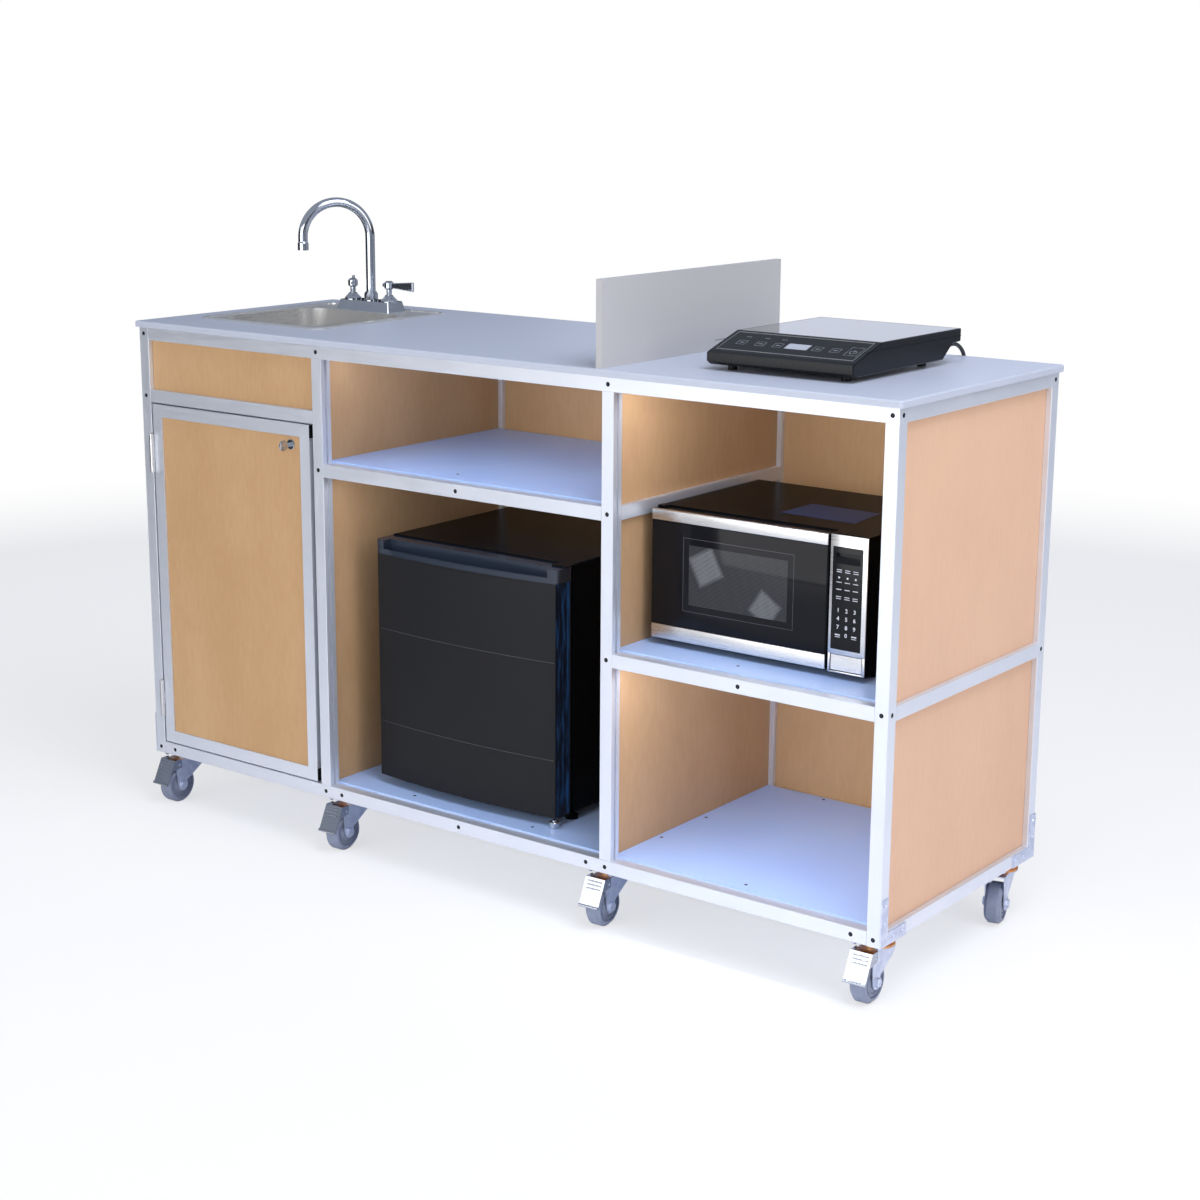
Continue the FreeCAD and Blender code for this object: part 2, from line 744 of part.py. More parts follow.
# Water tanks under the sink, pump and hoses
def make_tank(name, x0, x1, neck_x):
    y0 = drain_centre[1] - tank_length / 2
    z1 = deck_top + tank_height
    outer = box(x0, x1, y0, y0 + tank_length, deck_top, z1)
    outer = outer.makeFillet(tank_edge_radius, outer.Edges)
    inner = box(x0 + tank_wall, x1 - tank_wall, y0 + tank_wall,
                y0 + tank_length - tank_wall, deck_top + tank_wall, z1 - tank_wall)
    inner = inner.makeFillet(tank_edge_radius - tank_wall, inner.Edges)
    centre = (neck_x, drain_centre[1])
    neck = cylinder((*centre, z1 - tank_wall), UP, tank_neck_radius, tank_neck_height + tank_wall)
    bore = cylinder((*centre, z1 - tank_wall * 2), UP, tank_neck_radius - tank_wall,
                    tank_neck_height + tank_wall * 3)
    tank = outer.fuse(neck).cut(inner).cut(bore)
    grip_y = y0 + tank_length * 0.82
    width = x1 - x0
    grip = box(x0 + width * 0.25, x1 - width * 0.25, grip_y - tank_wall * 3, grip_y + tank_wall * 3,
               z1 - tank_wall, z1 + tank_neck_height)
    finger = box(x0 + width * 0.32, x1 - width * 0.32, grip_y - tank_wall * 4, grip_y + tank_wall * 4,
                 z1, z1 + tank_neck_height - tank_wall * 2)
    tank = tank.fuse(grip.cut(finger)).removeSplitter()
    neck_top = z1 + tank_neck_height
    collar_bore = tailpiece_radius if name.startswith("waste") else hose_radius
    cap = turned([(collar_bore + clearance, neck_top), (tank_neck_radius + tank_wall, neck_top),
                  (tank_neck_radius + tank_wall, neck_top + tank_cap_height),
                  (collar_bore + clearance, neck_top + tank_cap_height)], centre)
    save(name, [tank, cap])


waste_tank_left = left + waste_tank_from_left
waste_tank_right = drain_centre[0] + tank_neck_radius + tank_wall / 2
fresh_tank_left = waste_tank_right + tank_gap
fresh_tank_right = post_lines[1] - panel_thickness / 2 - fresh_tank_side_gap
fresh_neck_x = fresh_tank_right - tank_neck_inset - tank_neck_radius
neck_level = deck_top + tank_height + tank_neck_height
pump_right = post_lines[1] - panel_thickness / 2
pump_x = pump_right - pump_foot_thickness - pump_head_side / 2
pump_y = back - pump_from_back
pump_z = base + pump_height


def bent_tube(points, radius):
    """Tube along straight runs joined by tangent arcs; returns the solid, its length and its radii."""
    route = [Vector(*point) for point in points]
    edges = []
    radii = []
    start = route[0]
    for before, corner, after in zip(route, route[1:], route[2:]):
        arriving = (corner - before).normalize()
        leaving = (after - corner).normalize()
        turn = arriving.getAngle(leaving)
        setback = cord_bend_share * min((corner - before).Length, (after - corner).Length)
        bend = setback / math.tan(turn / 2)
        radii.append(bend)
        arc_start = corner - arriving * setback
        arc_end = corner + leaving * setback
        inward = (leaving - arriving).normalize()
        middle = corner + inward * (bend / math.cos(turn / 2) - bend)
        edges.append(Part.LineSegment(start, arc_start).toShape())
        edges.append(Part.Arc(arc_start, middle, arc_end).toShape())
        start = arc_end
    edges.append(Part.LineSegment(start, route[-1]).toShape())
    path = Part.Wire(edges)
    ring = Part.Wire(Part.makeCircle(radius, route[0], route[1] - route[0]))
    shell = Part.BRepOffsetAPI.MakePipeShell(path)
    shell.add(ring)
    shell.build()
    shell.makeSolid()
    return Part.Solid(shell.shape()), path.Length, radii


def make_pump():
    y0 = pump_y - pump_head_length / 2
    head = box(pump_x - pump_head_side / 2, pump_x + pump_head_side / 2, y0, y0 + pump_head_length,
               pump_z - pump_head_side / 2, pump_z + pump_head_side / 2)
    short_edges = [edge for edge in head.Edges if edge.Length < pump_head_length + clearance]
    head = head.makeFillet(pump_foot_thickness * 2, short_edges)
    motor = cylinder((pump_x, y0, pump_z), FORWARD, pump_body_radius, pump_body_length)
    foot = box(pump_right - pump_foot_thickness, pump_right,
               y0 - pump_body_length * 0.9, y0 + pump_head_length,
               pump_z - pump_head_side * 0.65, pump_z + pump_head_side * 0.65)
    saddle = box(pump_x, pump_right, y0 - pump_body_length * 0.7, y0 - pump_body_length * 0.3,
                 pump_z - pump_body_radius * 0.6, pump_z + pump_body_radius * 0.6)
    barb_radius = hose_radius * 1.3
    head_low, head_high = pump_z - pump_head_side / 2, pump_z + pump_head_side / 2
    inlet = cylinder((pump_x, pump_y, head_low - overrun), UP, barb_radius, overrun * 2)
    outlet = cylinder((pump_x, pump_y, head_high - overrun), UP, barb_radius, overrun * 2)
    pump = fuse([head, motor, foot, saddle, inlet, outlet])
    suction = [
        (fresh_neck_x, drain_centre[1], neck_level - tank_neck_height),
        (fresh_neck_x, drain_centre[1], neck_level + tank_cap_height * 3),
        (fresh_neck_x, drain_centre[1] + (pump_y - drain_centre[1]) * 0.4, neck_level + tank_cap_height * 4),
        (pump_x, pump_y, neck_level + tank_cap_height * 3),
        (pump_x, pump_y, head_low - overrun),
    ]
    shank_end = faucet_seat - faucet_shank_length
    cold_x = faucet_x + handle_spread
    delivery = [
        (pump_x, pump_y, head_high + overrun),
        (pump_x, pump_y, head_high + pump_head_side),
        (pump_x + (cold_x - pump_x) * 0.45, (pump_y + faucet_y) / 2, head_high + pump_head_side * 1.35),
        (cold_x, faucet_y, head_high + pump_head_side * 1.2),
        (cold_x, faucet_y, shank_end),
    ]
    save("water_pump", [pump, bent_tube(suction, hose_radius)[0], bent_tube(delivery, hose_radius)[0]])


# Cabinet door with hinges and cam lock
door_left = post_lines[0] + half + door_gap_left
door_right = post_lines[1] - half - door_gap_right
door_low = base + profile_side + door_gap_below
door_high = fascia_rail - half - door_gap_above
hinge_x = post_lines[0] + half + door_gap_left / 2
hinge_y = front - hinge_knuckle_radius
lock_x = door_right - lock_from_right
lock_z = door_high - lock_from_top
panel_front = front + door_slot_inset - panel_thickness / 2


def door_bar(origin, inward, along, length):
    """Door extrusion: a square tube whose panel slot lies near the front face."""
    outline = [(-half, 0), (half, 0), (half, door_slot_inset - slot_width / 2),
               (half - slot_depth, door_slot_inset - slot_width / 2),
               (half - slot_depth, door_slot_inset + slot_width / 2),
               (half, door_slot_inset + slot_width / 2), (half, profile_side), (-half, profile_side)]
    low = door_slot_inset + slot_width / 2 + profile_wall
    high = profile_side - profile_wall
    reach = half - profile_wall
    hollow = [(-reach, low), (reach, low), (reach, high), (-reach, high)]
    faces = []
    for points in (outline, hollow):
        corners = [origin + inward * u + BACKWARD * v for u, v in points]
        faces.append(Part.Face(Part.makePolygon(corners + corners[:1])))
    return faces[0].cut(faces[1]).extrude(along * length)


def make_door():
    width = door_right - door_left
    height = door_high - door_low - profile_side * 2
    stile_low = door_low + profile_side
    frame = [
        door_bar(Vector(door_left, front, door_low + half), UP, RIGHT, width),
        door_bar(Vector(door_left, front, door_high - half), DOWN, RIGHT, width),
        door_bar(Vector(door_left + half, front, stile_low), RIGHT, UP, height),
        door_bar(Vector(door_right - half, front, stile_low), RIGHT * -1, UP, height),
    ]
    save("door_frame", frame)
    inset = profile_side - panel_in_slot
    panel = box(door_left + inset, door_right - inset, panel_front, panel_front + panel_thickness,
                door_low + inset, door_high - inset)
    before_panel = (lock_x, panel_front - overrun, lock_z)
    hole = cylinder(before_panel, BACKWARD, lock_body_radius + clearance, overrun * 3)
    save("door_panel", [panel.cut(hole)])
    caps = []
    for z in (door_low, door_high - profile_side):
        caps.append(box(door_right, door_right + door_cap_thickness, front, front + profile_side,
                        z, z + profile_side))
    save("door_end_caps", caps)


def knuckle(z0, z1, bore):
    length = z1 - z0
    barrel = cylinder((hinge_x, hinge_y, z0), UP, hinge_knuckle_radius, length)
    return barrel.cut(cylinder((hinge_x, hinge_y, z0), UP, bore, length)) if bore else barrel


def make_hinges():
    fixed = []
    moving = []
    third = hinge_length / 3
    leaf_back = hinge_y + hinge_knuckle_radius + hinge_leaf_depth
    leaf_start = front + clearance
    post_face = post_lines[0] + half
    for centre in (door_low + hinge_from_bottom, door_high - hinge_from_top):
        z0 = centre - hinge_length / 2
        z1 = z0 + hinge_length
        inner, outer = z0 + third, z1 - third
        leaf = box(post_face, post_face + hinge_leaf_thickness, leaf_start, leaf_back, z0, z1)
        pieces = [leaf]
        for low, high in ((z0, inner - clearance), (outer + clearance, z1)):
            pieces.append(knuckle(low, high, 0))
            pieces.append(box(post_face, post_face + hinge_leaf_thickness, hinge_y, leaf_start, low, high))
        pin_start = (hinge_x, hinge_y, inner - clearance)
        pieces.append(cylinder(pin_start, UP, hinge_pin_radius, third + clearance * 2))
        fixed.append(fuse(pieces))
        leaf = box(door_left - hinge_leaf_thickness, door_left, leaf_start, leaf_back, z0, z1)
        arm = box(door_left - hinge_leaf_thickness, door_left, hinge_y, leaf_start, inner, outer)
        middle = knuckle(inner, outer, 0).fuse(arm)
        bore_start = (hinge_x, hinge_y, inner - overrun)
        pin_bore = hinge_pin_radius + fit_clearance
        middle = middle.cut(cylinder(bore_start, UP, pin_bore, third + overrun * 2))
        moving.append(fuse([leaf, middle]))
    save("hinge_frame_leaves", fixed)
    save("hinge_door_leaves", moving)


def make_lock():
    face_front = panel_front - lock_face_height
    rear = panel_front + lock_body_length
    face = cylinder((lock_x, face_front, lock_z), BACKWARD, lock_face_radius, lock_face_height)
    rim = [edge for edge in face.Edges
           if len(edge.Vertexes) == 1 and edge.CenterOfMass.y < panel_front - clearance]
    face = face.makeChamfer(lock_face_height / 3, rim)
    body = cylinder((lock_x, panel_front, lock_z), BACKWARD, lock_body_radius, lock_body_length)
    bore = cylinder((lock_x, face_front - overrun, lock_z), BACKWARD, lock_plug_radius + fit_clearance,
                    lock_body_length + overrun * 3)
    nut_start = (lock_x, panel_front + panel_thickness, lock_z)
    nut = cylinder(nut_start, BACKWARD, lock_nut_radius, lock_nut_height)
    nut = nut.cut(cylinder(nut_start, BACKWARD, lock_body_radius + fit_clearance, lock_nut_height))
    save("lock_barrel", [face.fuse(body).cut(bore).removeSplitter(), nut])
    plug = cylinder((lock_x, face_front, lock_z), BACKWARD, lock_plug_radius, rear + clearance - face_front)
    cam_start = rear + clearance
    cam = box(lock_x - cam_length, lock_x + cam_width / 2, cam_start, cam_start + cam_thickness,
              lock_z - cam_width / 2, lock_z + cam_width / 2)
    cam_corners = [edge for edge in cam.Edges if abs(edge.Length - cam_thickness) < clearance]
    cam = cam.makeFillet(cam_width / 3, cam_corners)
    cam_back = (lock_x, cam_start + cam_thickness, lock_z)
    screw = cylinder(cam_back, BACKWARD, lock_plug_radius * 0.8, cam_thickness)
    shank = box(lock_x - key_thickness / 2, lock_x + key_thickness / 2, face_front - key_shank, face_front,
                lock_z - lock_plug_radius * 0.7, lock_z + lock_plug_radius * 0.7)
    bow_middle = face_front - key_shank - key_bow_width * 0.4
    bow = cylinder((lock_x - key_thickness / 2, bow_middle, lock_z), RIGHT, key_bow_height / 2, key_thickness)
    eye = cylinder((lock_x - key_thickness / 2, bow_middle - key_bow_height * 0.2, lock_z), RIGHT,
                   key_bow_height * 0.14, key_thickness)
    save("lock_key", [fuse([plug, cam, screw, shank, bow]).cut(eye)])


# Casters
swivel_top = caster_height - mount_plate_thickness
crown_top = swivel_top - race_height - clearance
leg_inner = wheel_width / 2 + fork_side_gap
leg_outer = leg_inner + fork_sheet
ear_inner = leg_outer + clearance
ear_outer = ear_inner + pedal_sheet
pivot_z = crown_top - pedal_pivot_drop


def caster_places():
    bars = caster_bar_lines()
    places = []
    for y, yaws in ((front + caster_inset, front_caster_yaw), (back - caster_inset, rear_caster_yaw)):
        for line, bar_line, yaw in zip(post_lines, bars, yaws):
            places.append(((line + bar_line) / 2, y, yaw))
    return places


def placed(solid, place):
    x, y, yaw = place
    return turn_about(solid, (0, 0, 0), yaw).translated(Vector(x, y, 0))


def fork_leg(x0):
    """One side plate of the fork, drawn at the swivel axis; the wheel trails towards -Y."""
    shoulder = crown_top - fork_shoulder
    axle = Vector(x0, -caster_trail, wheel_radius)
    end = fork_leg_end_radius
    lean = math.radians(fork_tail_lean)
    tail_point = axle + Vector(0, end * math.cos(lean), end * math.sin(lean))
    low_point = axle + Vector(0, 0, -end)
    nose_point = axle + Vector(0, -end, 0)
    corners = [nose_point, Vector(x0, -fork_front_reach, shoulder), Vector(x0, -fork_front_reach, crown_top),
               Vector(x0, fork_back_reach, crown_top), Vector(x0, fork_back_reach, shoulder), tail_point]
    edges = [Part.LineSegment(a, b).toShape() for a, b in zip(corners, corners[1:])]
    edges.append(Part.Arc(tail_point, low_point, nose_point).toShape())
    return Part.Face(Part.Wire(edges)).extrude(Vector(fork_sheet, 0, 0))


def make_fork(with_pedal_pin):
    crown = box(-leg_inner, leg_inner, -fork_front_reach, fork_back_reach, crown_top - fork_sheet, crown_top)
    disc = cylinder((0, 0, crown_top - fork_sheet), UP, race_radius, fork_sheet)
    skirt = box(-leg_inner, leg_inner, fork_back_reach - fork_sheet, fork_back_reach,
                crown_top - fork_shoulder, crown_top)
    kingpin = cylinder((0, 0, crown_top - fork_sheet), UP, kingpin_radius, race_height + fork_sheet)
    axle_reach = leg_outer + axle_nut_height
    axle = cylinder((-axle_reach, -caster_trail, wheel_radius), RIGHT, axle_radius, axle_reach * 2)
    pieces = [crown, disc, skirt, fork_leg(-leg_outer), fork_leg(leg_inner), kingpin, axle]
    for x0 in (-axle_reach, leg_outer):
        corners = []
        for corner in range(6):
            turn = corner * math.pi / 3
            corners.append((x0, -caster_trail + axle_nut_radius * math.cos(turn),
                            wheel_radius + axle_nut_radius * math.sin(turn)))
        pieces.append(prism(corners, Vector(axle_nut_height, 0, 0)))
    if with_pedal_pin:
        pin_start = (-ear_outer, -pedal_pivot_reach, pivot_z)
        pieces.append(cylinder(pin_start, RIGHT, pedal_pin_radius, ear_outer * 2))
    return fuse(pieces)


def make_wheel():
    """Grey tyre with a dished hub, turned about the axle."""
    outer = wheel_width / 2
    bore = axle_radius + fit_clearance
    shoulder = wheel_radius - wheel_tread_round
    rim = wheel_radius * wheel_rim_share
    floor = outer - wheel_dish
    ring = [wheel_radius * share for share in wheel_ring_shares]
    ridge = outer - wheel_dish / 2
    side = [(bore, outer), (wheel_hub_radius * 0.62, outer), (wheel_hub_radius, floor),
            (ring[0], floor), (ring[0], ridge), (ring[1], ridge), (ring[1], floor),
            (rim, floor), (rim, outer), (shoulder, outer)]
    points = side + [(wheel_radius, outer - wheel_tread_round), (wheel_radius, wheel_tread_round - outer)]
    points += [(radius, -x) for radius, x in reversed(side)]
    corners = [Vector(x, 0, radius) for radius, x in points]
    wheel = Part.Face(Part.makePolygon(corners + corners[:1])).revolve(CENTRE, RIGHT, 360)
    wheel.translate(Vector(0, -caster_trail, wheel_radius))
    return wheel


def make_pedal():
    """Bent sheet brake pedal with side ears on the pivot pin and three pressed ribs."""
    head = crown_top + pedal_sheet
    knee = (-fork_front_reach - pedal_sheet * 3, head)
    foot = (-caster_trail - wheel_radius - pedal_sheet * 4, wheel_radius + pedal_sheet * 5)
    fall = math.atan2(knee[1] - foot[1], knee[0] - foot[0])
    normal = (-math.sin(fall), math.cos(fall))
    start = (-pedal_pivot_reach - pedal_pin_radius, head)
    outline = [start, knee, foot,
               (foot[0] - normal[0] * pedal_sheet, foot[1] - normal[1] * pedal_sheet),
               (knee[0] + pedal_sheet / 2, knee[1] - pedal_sheet), (start[0], head - pedal_sheet)]
    plate = prism([(-ear_outer, y, z) for y, z in outline], Vector(ear_outer * 2, 0, 0))
    lip = cylinder((-ear_outer, foot[0], foot[1]), RIGHT, pedal_lip_radius, ear_outer * 2)
    pieces = [plate, lip]
    for x0 in (-ear_outer, ear_inner):
        ear = [(x0, start[0] + pedal_pin_radius * 3, head), (x0, *start), (x0, *knee),
               (x0, (knee[0] + foot[0]) / 2, (knee[1] + foot[1]) / 2),
               (x0, -fork_front_reach - pedal_sheet, pivot_z - pedal_pin_radius * 3),
               (x0, -pedal_pivot_reach + pedal_pin_radius * 2, pivot_z - pedal_pin_radius * 2)]
        pieces.append(prism(ear, Vector(pedal_sheet, 0, 0)))
    for count in range(pedal_rib_count):
        share = pedal_first_rib_share + pedal_rib_step_share * count
        y = knee[0] + (foot[0] - knee[0]) * share
        z = knee[1] + (foot[1] - knee[1]) * share
        rib = cylinder((-ear_outer * 0.7, y, z), RIGHT, pedal_rib_height * 1.6, ear_outer * 1.4)
        pieces.append(rib)
    pedal = fuse(pieces)
    pin_hole = cylinder((-ear_outer - overrun, -pedal_pivot_reach, pivot_z), RIGHT,
                        pedal_pin_radius + fit_clearance, ear_outer * 2 + overrun * 2)
    return pedal.cut(pin_hole)


def make_mount_plate():
    corner = mount_plate_thickness * 2
    plate = rounded_block(-mount_plate_width / 2, mount_plate_width / 2, -mount_plate_length / 2,
                          mount_plate_length / 2, swivel_top, caster_height, corner)
    waist = race_radius - mount_plate_thickness
    race = turned([(0, swivel_top), (race_radius, swivel_top), (race_radius, swivel_top - race_height / 3),
                   (waist, swivel_top - race_height / 2), (race_radius, swivel_top - race_height * 0.7),
                   (race_radius, swivel_top - race_height), (0, swivel_top - race_height)], (0, 0))
    bore_length = race_height + overrun
    bore = cylinder((0, 0, swivel_top - bore_length), UP, kingpin_radius + fit_clearance, bore_length)
    return plate.fuse(race).cut(bore)


def make_casters():
    plates = []
    for number, place in enumerate(caster_places(), start=1):
        has_pedal = number <= len(front_caster_yaw)
        save(f"caster_fork_{number}", [placed(make_fork(has_pedal), place)])
        save(f"caster_wheel_{number}", [placed(make_wheel(), place)])
        if has_pedal:
            save(f"brake_pedal_{number}", [placed(make_pedal(), place)])
        plates.append(make_mount_plate().translated(Vector(place[0], place[1], 0)))
    save("caster_plates", plates)


# Fridge
fridge_bay_left = post_lines[1] + panel_thickness / 2
fridge_bay_right = post_lines[2] - panel_thickness / 2
fridge_left = fridge_bay_left + (fridge_bay_right - fridge_bay_left - fridge_width) * fridge_side_share
fridge_right = fridge_left + fridge_width
fridge_front = front + fridge_from_front
fridge_low = deck_top + fridge_foot_height
fridge_high = fridge_low + fridge_height
fridge_door_back = fridge_front + fridge_door_thickness
fridge_case_front = fridge_door_back + fridge_door_gap
fridge_case_back = back - fridge_from_back
fridge_hinge_x = fridge_right - fridge_hinge_inset
fridge_hinge_y = fridge_door_back - fridge_hinge_inset
fridge_door_low = fridge_low + fridge_bracket_thickness + clearance
fridge_door_high = fridge_high - fridge_bracket_thickness - clearance


def make_fridge_cabinet():
    shell = box(fridge_left, fridge_right, fridge_case_front, fridge_case_back, fridge_low, fridge_high)
    case_depth = fridge_case_back - fridge_case_front
    edges = [edge for edge in shell.Edges if abs(edge.Length - case_depth) < clearance]
    shell = shell.makeFillet(fridge_edge_radius, edges)
    inside = (fridge_left + fridge_wall, fridge_right - fridge_wall)
    cavity_back = fridge_case_back - fridge_wall * 2
    floor = fridge_low + fridge_wall
    ceiling = fridge_high - fridge_wall
    cavity = box(*inside, fridge_case_front - overrun, cavity_back, floor, ceiling)
    cavity = round_upright(cavity, fridge_edge_radius * 3)
    shell = shell.cut(cavity)
    pieces = []
    shelf_levels = (floor + (ceiling - floor) * 0.36, floor + (ceiling - floor) * 0.68)
    shelf_front = fridge_case_front + fridge_wall
    shelf_back = cavity_back - fridge_edge_radius * 3
    for level in shelf_levels:
        for x0, x1 in ((inside[0] - overrun, inside[0] + fridge_shelf_rib),
                       (inside[1] - fridge_shelf_rib, inside[1] + overrun)):
            rib = box(x0, x1, shelf_front, shelf_back, level - fridge_shelf_rib, level)
            shell = shell.fuse(rib)
        pieces.append(box(inside[0] + clearance, inside[1] - clearance, shelf_front, shelf_back,
                          level, level + fridge_shelf_thickness))
    foot_inset = fridge_foot_radius * 1.3
    for x in (fridge_left + foot_inset, fridge_right - foot_inset):
        for y in (fridge_case_front + foot_inset, fridge_case_back - foot_inset):
            stem = cylinder((x, y, deck_top), UP, fridge_foot_radius, fridge_foot_height / 2)
            shell = shell.fuse(stem)
            stud = cylinder((x, y, deck_top), UP, fridge_foot_radius / 2, fridge_foot_height + overrun)
            shell = shell.fuse(stud)
    arm_right = fridge_hinge_x + fridge_hinge_inset
    for z in (fridge_low, fridge_high - fridge_bracket_thickness):
        plate = box(fridge_hinge_x - fridge_hinge_inset * 2, arm_right, fridge_hinge_y - fridge_hinge_inset,
                    fridge_case_front + overrun, z, z + fridge_bracket_thickness)
        shell = shell.fuse(plate)
    pin_length = fridge_hinge_inset
    low_pin = cylinder((fridge_hinge_x, fridge_hinge_y, fridge_low), UP, fridge_pin_radius,
                       fridge_bracket_thickness + pin_length)
    high_pin = cylinder((fridge_hinge_x, fridge_hinge_y, fridge_high), DOWN, fridge_pin_radius,
                        fridge_bracket_thickness + pin_length)
    shell = shell.fuse(low_pin).fuse(high_pin).removeSplitter()
    save("fridge_cabinet", [shell] + pieces)


def bowed_door(bow, z0, z1):
    """Door block whose front is one shallow arc and whose hinge corner is round about the pin."""
    inset = fridge_hinge_inset
    middle = (fridge_left + fridge_right) / 2
    swing = inset * math.sqrt(0.5)
    front_left = Vector(fridge_left, fridge_front, z0)
    front_right = Vector(fridge_right, fridge_front, z0)
    back_left = Vector(fridge_left, fridge_door_back, z0)
    corner_start = Vector(fridge_right, fridge_hinge_y, z0)
    corner_end = Vector(fridge_hinge_x, fridge_door_back, z0)
    corner_middle = Vector(fridge_hinge_x + swing, fridge_hinge_y + swing, z0)
    edges = [
        Part.Arc(front_left, Vector(middle, fridge_front - bow, z0), front_right).toShape(),
        Part.LineSegment(front_right, corner_start).toShape(),
        Part.Arc(corner_start, corner_middle, corner_end).toShape(),
        Part.LineSegment(corner_end, back_left).toShape(),
        Part.LineSegment(back_left, front_left).toShape(),
    ]
    block = Part.Face(Part.Wire(edges)).extrude(Vector(0, 0, z1 - z0))
    corners = [edge for edge in block.Edges
               if abs(edge.Length - (z1 - z0)) < clearance and edge.CenterOfMass.y < fridge_front + clearance]
    return block.makeFillet(fridge_door_edge_radius, corners)


def make_fridge_door():
    handle_low = fridge_door_high - fridge_handle_height
    body = bowed_door(fridge_door_bow, fridge_door_low, handle_low)
    handle = bowed_door(fridge_lip_bow, handle_low, fridge_door_high)
    lip_top = handle_low + fridge_lip_height
    groove_low = fridge_door_high - fridge_groove_depth
    grip_ends = (fridge_left + fridge_grip_end, fridge_right - fridge_grip_end)
    grip_back = fridge_front + fridge_grip_depth
    step = box(*grip_ends, fridge_front - fridge_lip_bow - overrun, grip_back, lip_top, fridge_high + overrun)
    groove = bowed_door(fridge_lip_bow, groove_low, lip_top + overrun)
    groove.translate(BACKWARD * fridge_lip_thickness)
    behind_lip = box(*grip_ends, fridge_front - fridge_lip_bow, grip_back, groove_low, lip_top + overrun)
    door = body.fuse(handle).cut(step).cut(groove.common(behind_lip))
    liner_side = fridge_wall * 1.3
    bins = []
    for low_share, high_share in ((0.12, 0.40), (0.50, 0.78)):
        z0 = fridge_door_low + fridge_height * low_share
        z1 = fridge_door_low + fridge_height * high_share
        recess = box(fridge_left + liner_side, fridge_right - liner_side,
                     fridge_door_back - fridge_door_thickness / 2, fridge_door_back + overrun, z0, z1)
        door = door.cut(recess)
        guard = box(fridge_left + liner_side, fridge_right - liner_side,
                    fridge_door_back - fridge_shelf_thickness, fridge_door_back, z0, z0 + (z1 - z0) * 0.3)
        bins.append(guard)
    for guard in bins:
        door = door.fuse(guard)
    for start, way in ((fridge_door_low - overrun, UP), (fridge_door_high + overrun, DOWN)):
        hole = cylinder((fridge_hinge_x, fridge_hinge_y, start), way, fridge_pin_radius + fit_clearance,
                        overrun + fridge_hinge_inset + clearance)
        door = door.cut(hole)
    save("fridge_door", [door.removeSplitter()])


# Microwave oven
oven_bay_left = post_lines[2] + panel_thickness / 2
oven_bay_right = post_lines[3] - panel_thickness / 2
oven_left = oven_bay_left + (oven_bay_right - oven_bay_left - oven_width) * oven_side_share
oven_right = oven_left + oven_width
oven_front = front + oven_from_front
oven_low = lower_shelf_top + oven_foot_height
oven_high = oven_low + oven_height
oven_door_right = oven_right - oven_control_width
oven_door_back = oven_front + oven_door_thickness
oven_case_front = oven_door_back + oven_door_gap
oven_case_back = oven_front + oven_depth
oven_hinge_x = oven_left + oven_hinge_inset
oven_hinge_y = oven_door_back - oven_hinge_inset
oven_door_low = oven_low + oven_edge_radius
oven_door_high = oven_high - oven_edge_radius
cavity_left = oven_left + oven_wall
cavity_right = oven_door_right - oven_cavity_from_control
cavity_back = oven_case_back - oven_wall
cavity_floor = oven_low + oven_floor
cavity_top = oven_high - oven_ceiling
turntable_centre = ((cavity_left + cavity_right) / 2, (oven_case_front + cavity_back) / 2)
turntable_radius = min(cavity_right - cavity_left, cavity_back - oven_case_front) / 2 - turntable_side_gap
control_left = oven_door_right + oven_door_gap * 2
button_left = control_left + button_side_gap
button_right = oven_right - button_side_gap
button_low = oven_low + button_rise


def make_oven_case():
    case = box(oven_left, oven_right, oven_case_front, oven_case_back, oven_low, oven_high)
    edges = [edge for edge in case.Edges if abs(edge.Length - (oven_case_back - oven_case_front)) < clearance]
    case = case.makeFillet(oven_edge_radius, edges)
    control = box(control_left, oven_right, oven_front, oven_case_front + overrun, oven_low, oven_high)
    long_front = [edge for edge in control.Edges if abs(edge.CenterOfMass.y - oven_front) < clearance]
    control = control.makeFillet(oven_edge_radius, long_front)
    case = case.fuse(control)
    cavity = box(cavity_left, cavity_right, oven_case_front - overrun, cavity_back, cavity_floor, cavity_top)
    case = case.cut(cavity)
    well = box(button_left - clearance, button_right + clearance, oven_front - overrun,
               oven_front + button_depth + button_travel, button_low - clearance,
               button_low + button_height + clearance)
    case = case.cut(well)
    drive = cylinder((*turntable_centre, cavity_floor - overrun), UP, turntable_drive_radius,
                     overrun + turntable_lift)
    case = case.fuse(drive)
    reach = oven_hinge_inset
    for z0, z1 in ((oven_low, oven_door_low - clearance), (oven_door_high + clearance, oven_high)):
        tab = box(oven_left + clearance, oven_hinge_x + reach, oven_hinge_y - reach / 2,
                  oven_case_front + overrun, z0, z1)
        case = case.fuse(tab)
    low_pin = cylinder((oven_hinge_x, oven_hinge_y, oven_low), UP, oven_hinge_pin_radius,
                       oven_edge_radius + reach)
    high_pin = cylinder((oven_hinge_x, oven_hinge_y, oven_high), DOWN, oven_hinge_pin_radius,
                        oven_edge_radius + reach)
    case = case.fuse(low_pin).fuse(high_pin)
    inset = oven_foot_radius * 2
    for x in (oven_left + inset, oven_right - inset):
        for y in (oven_case_front + inset, oven_case_back - inset):
            foot_length = oven_foot_height + oven_edge_radius
            case = case.fuse(cylinder((x, y, lower_shelf_top), UP, oven_foot_radius, foot_length))
    save("microwave_case", [case.removeSplitter()])


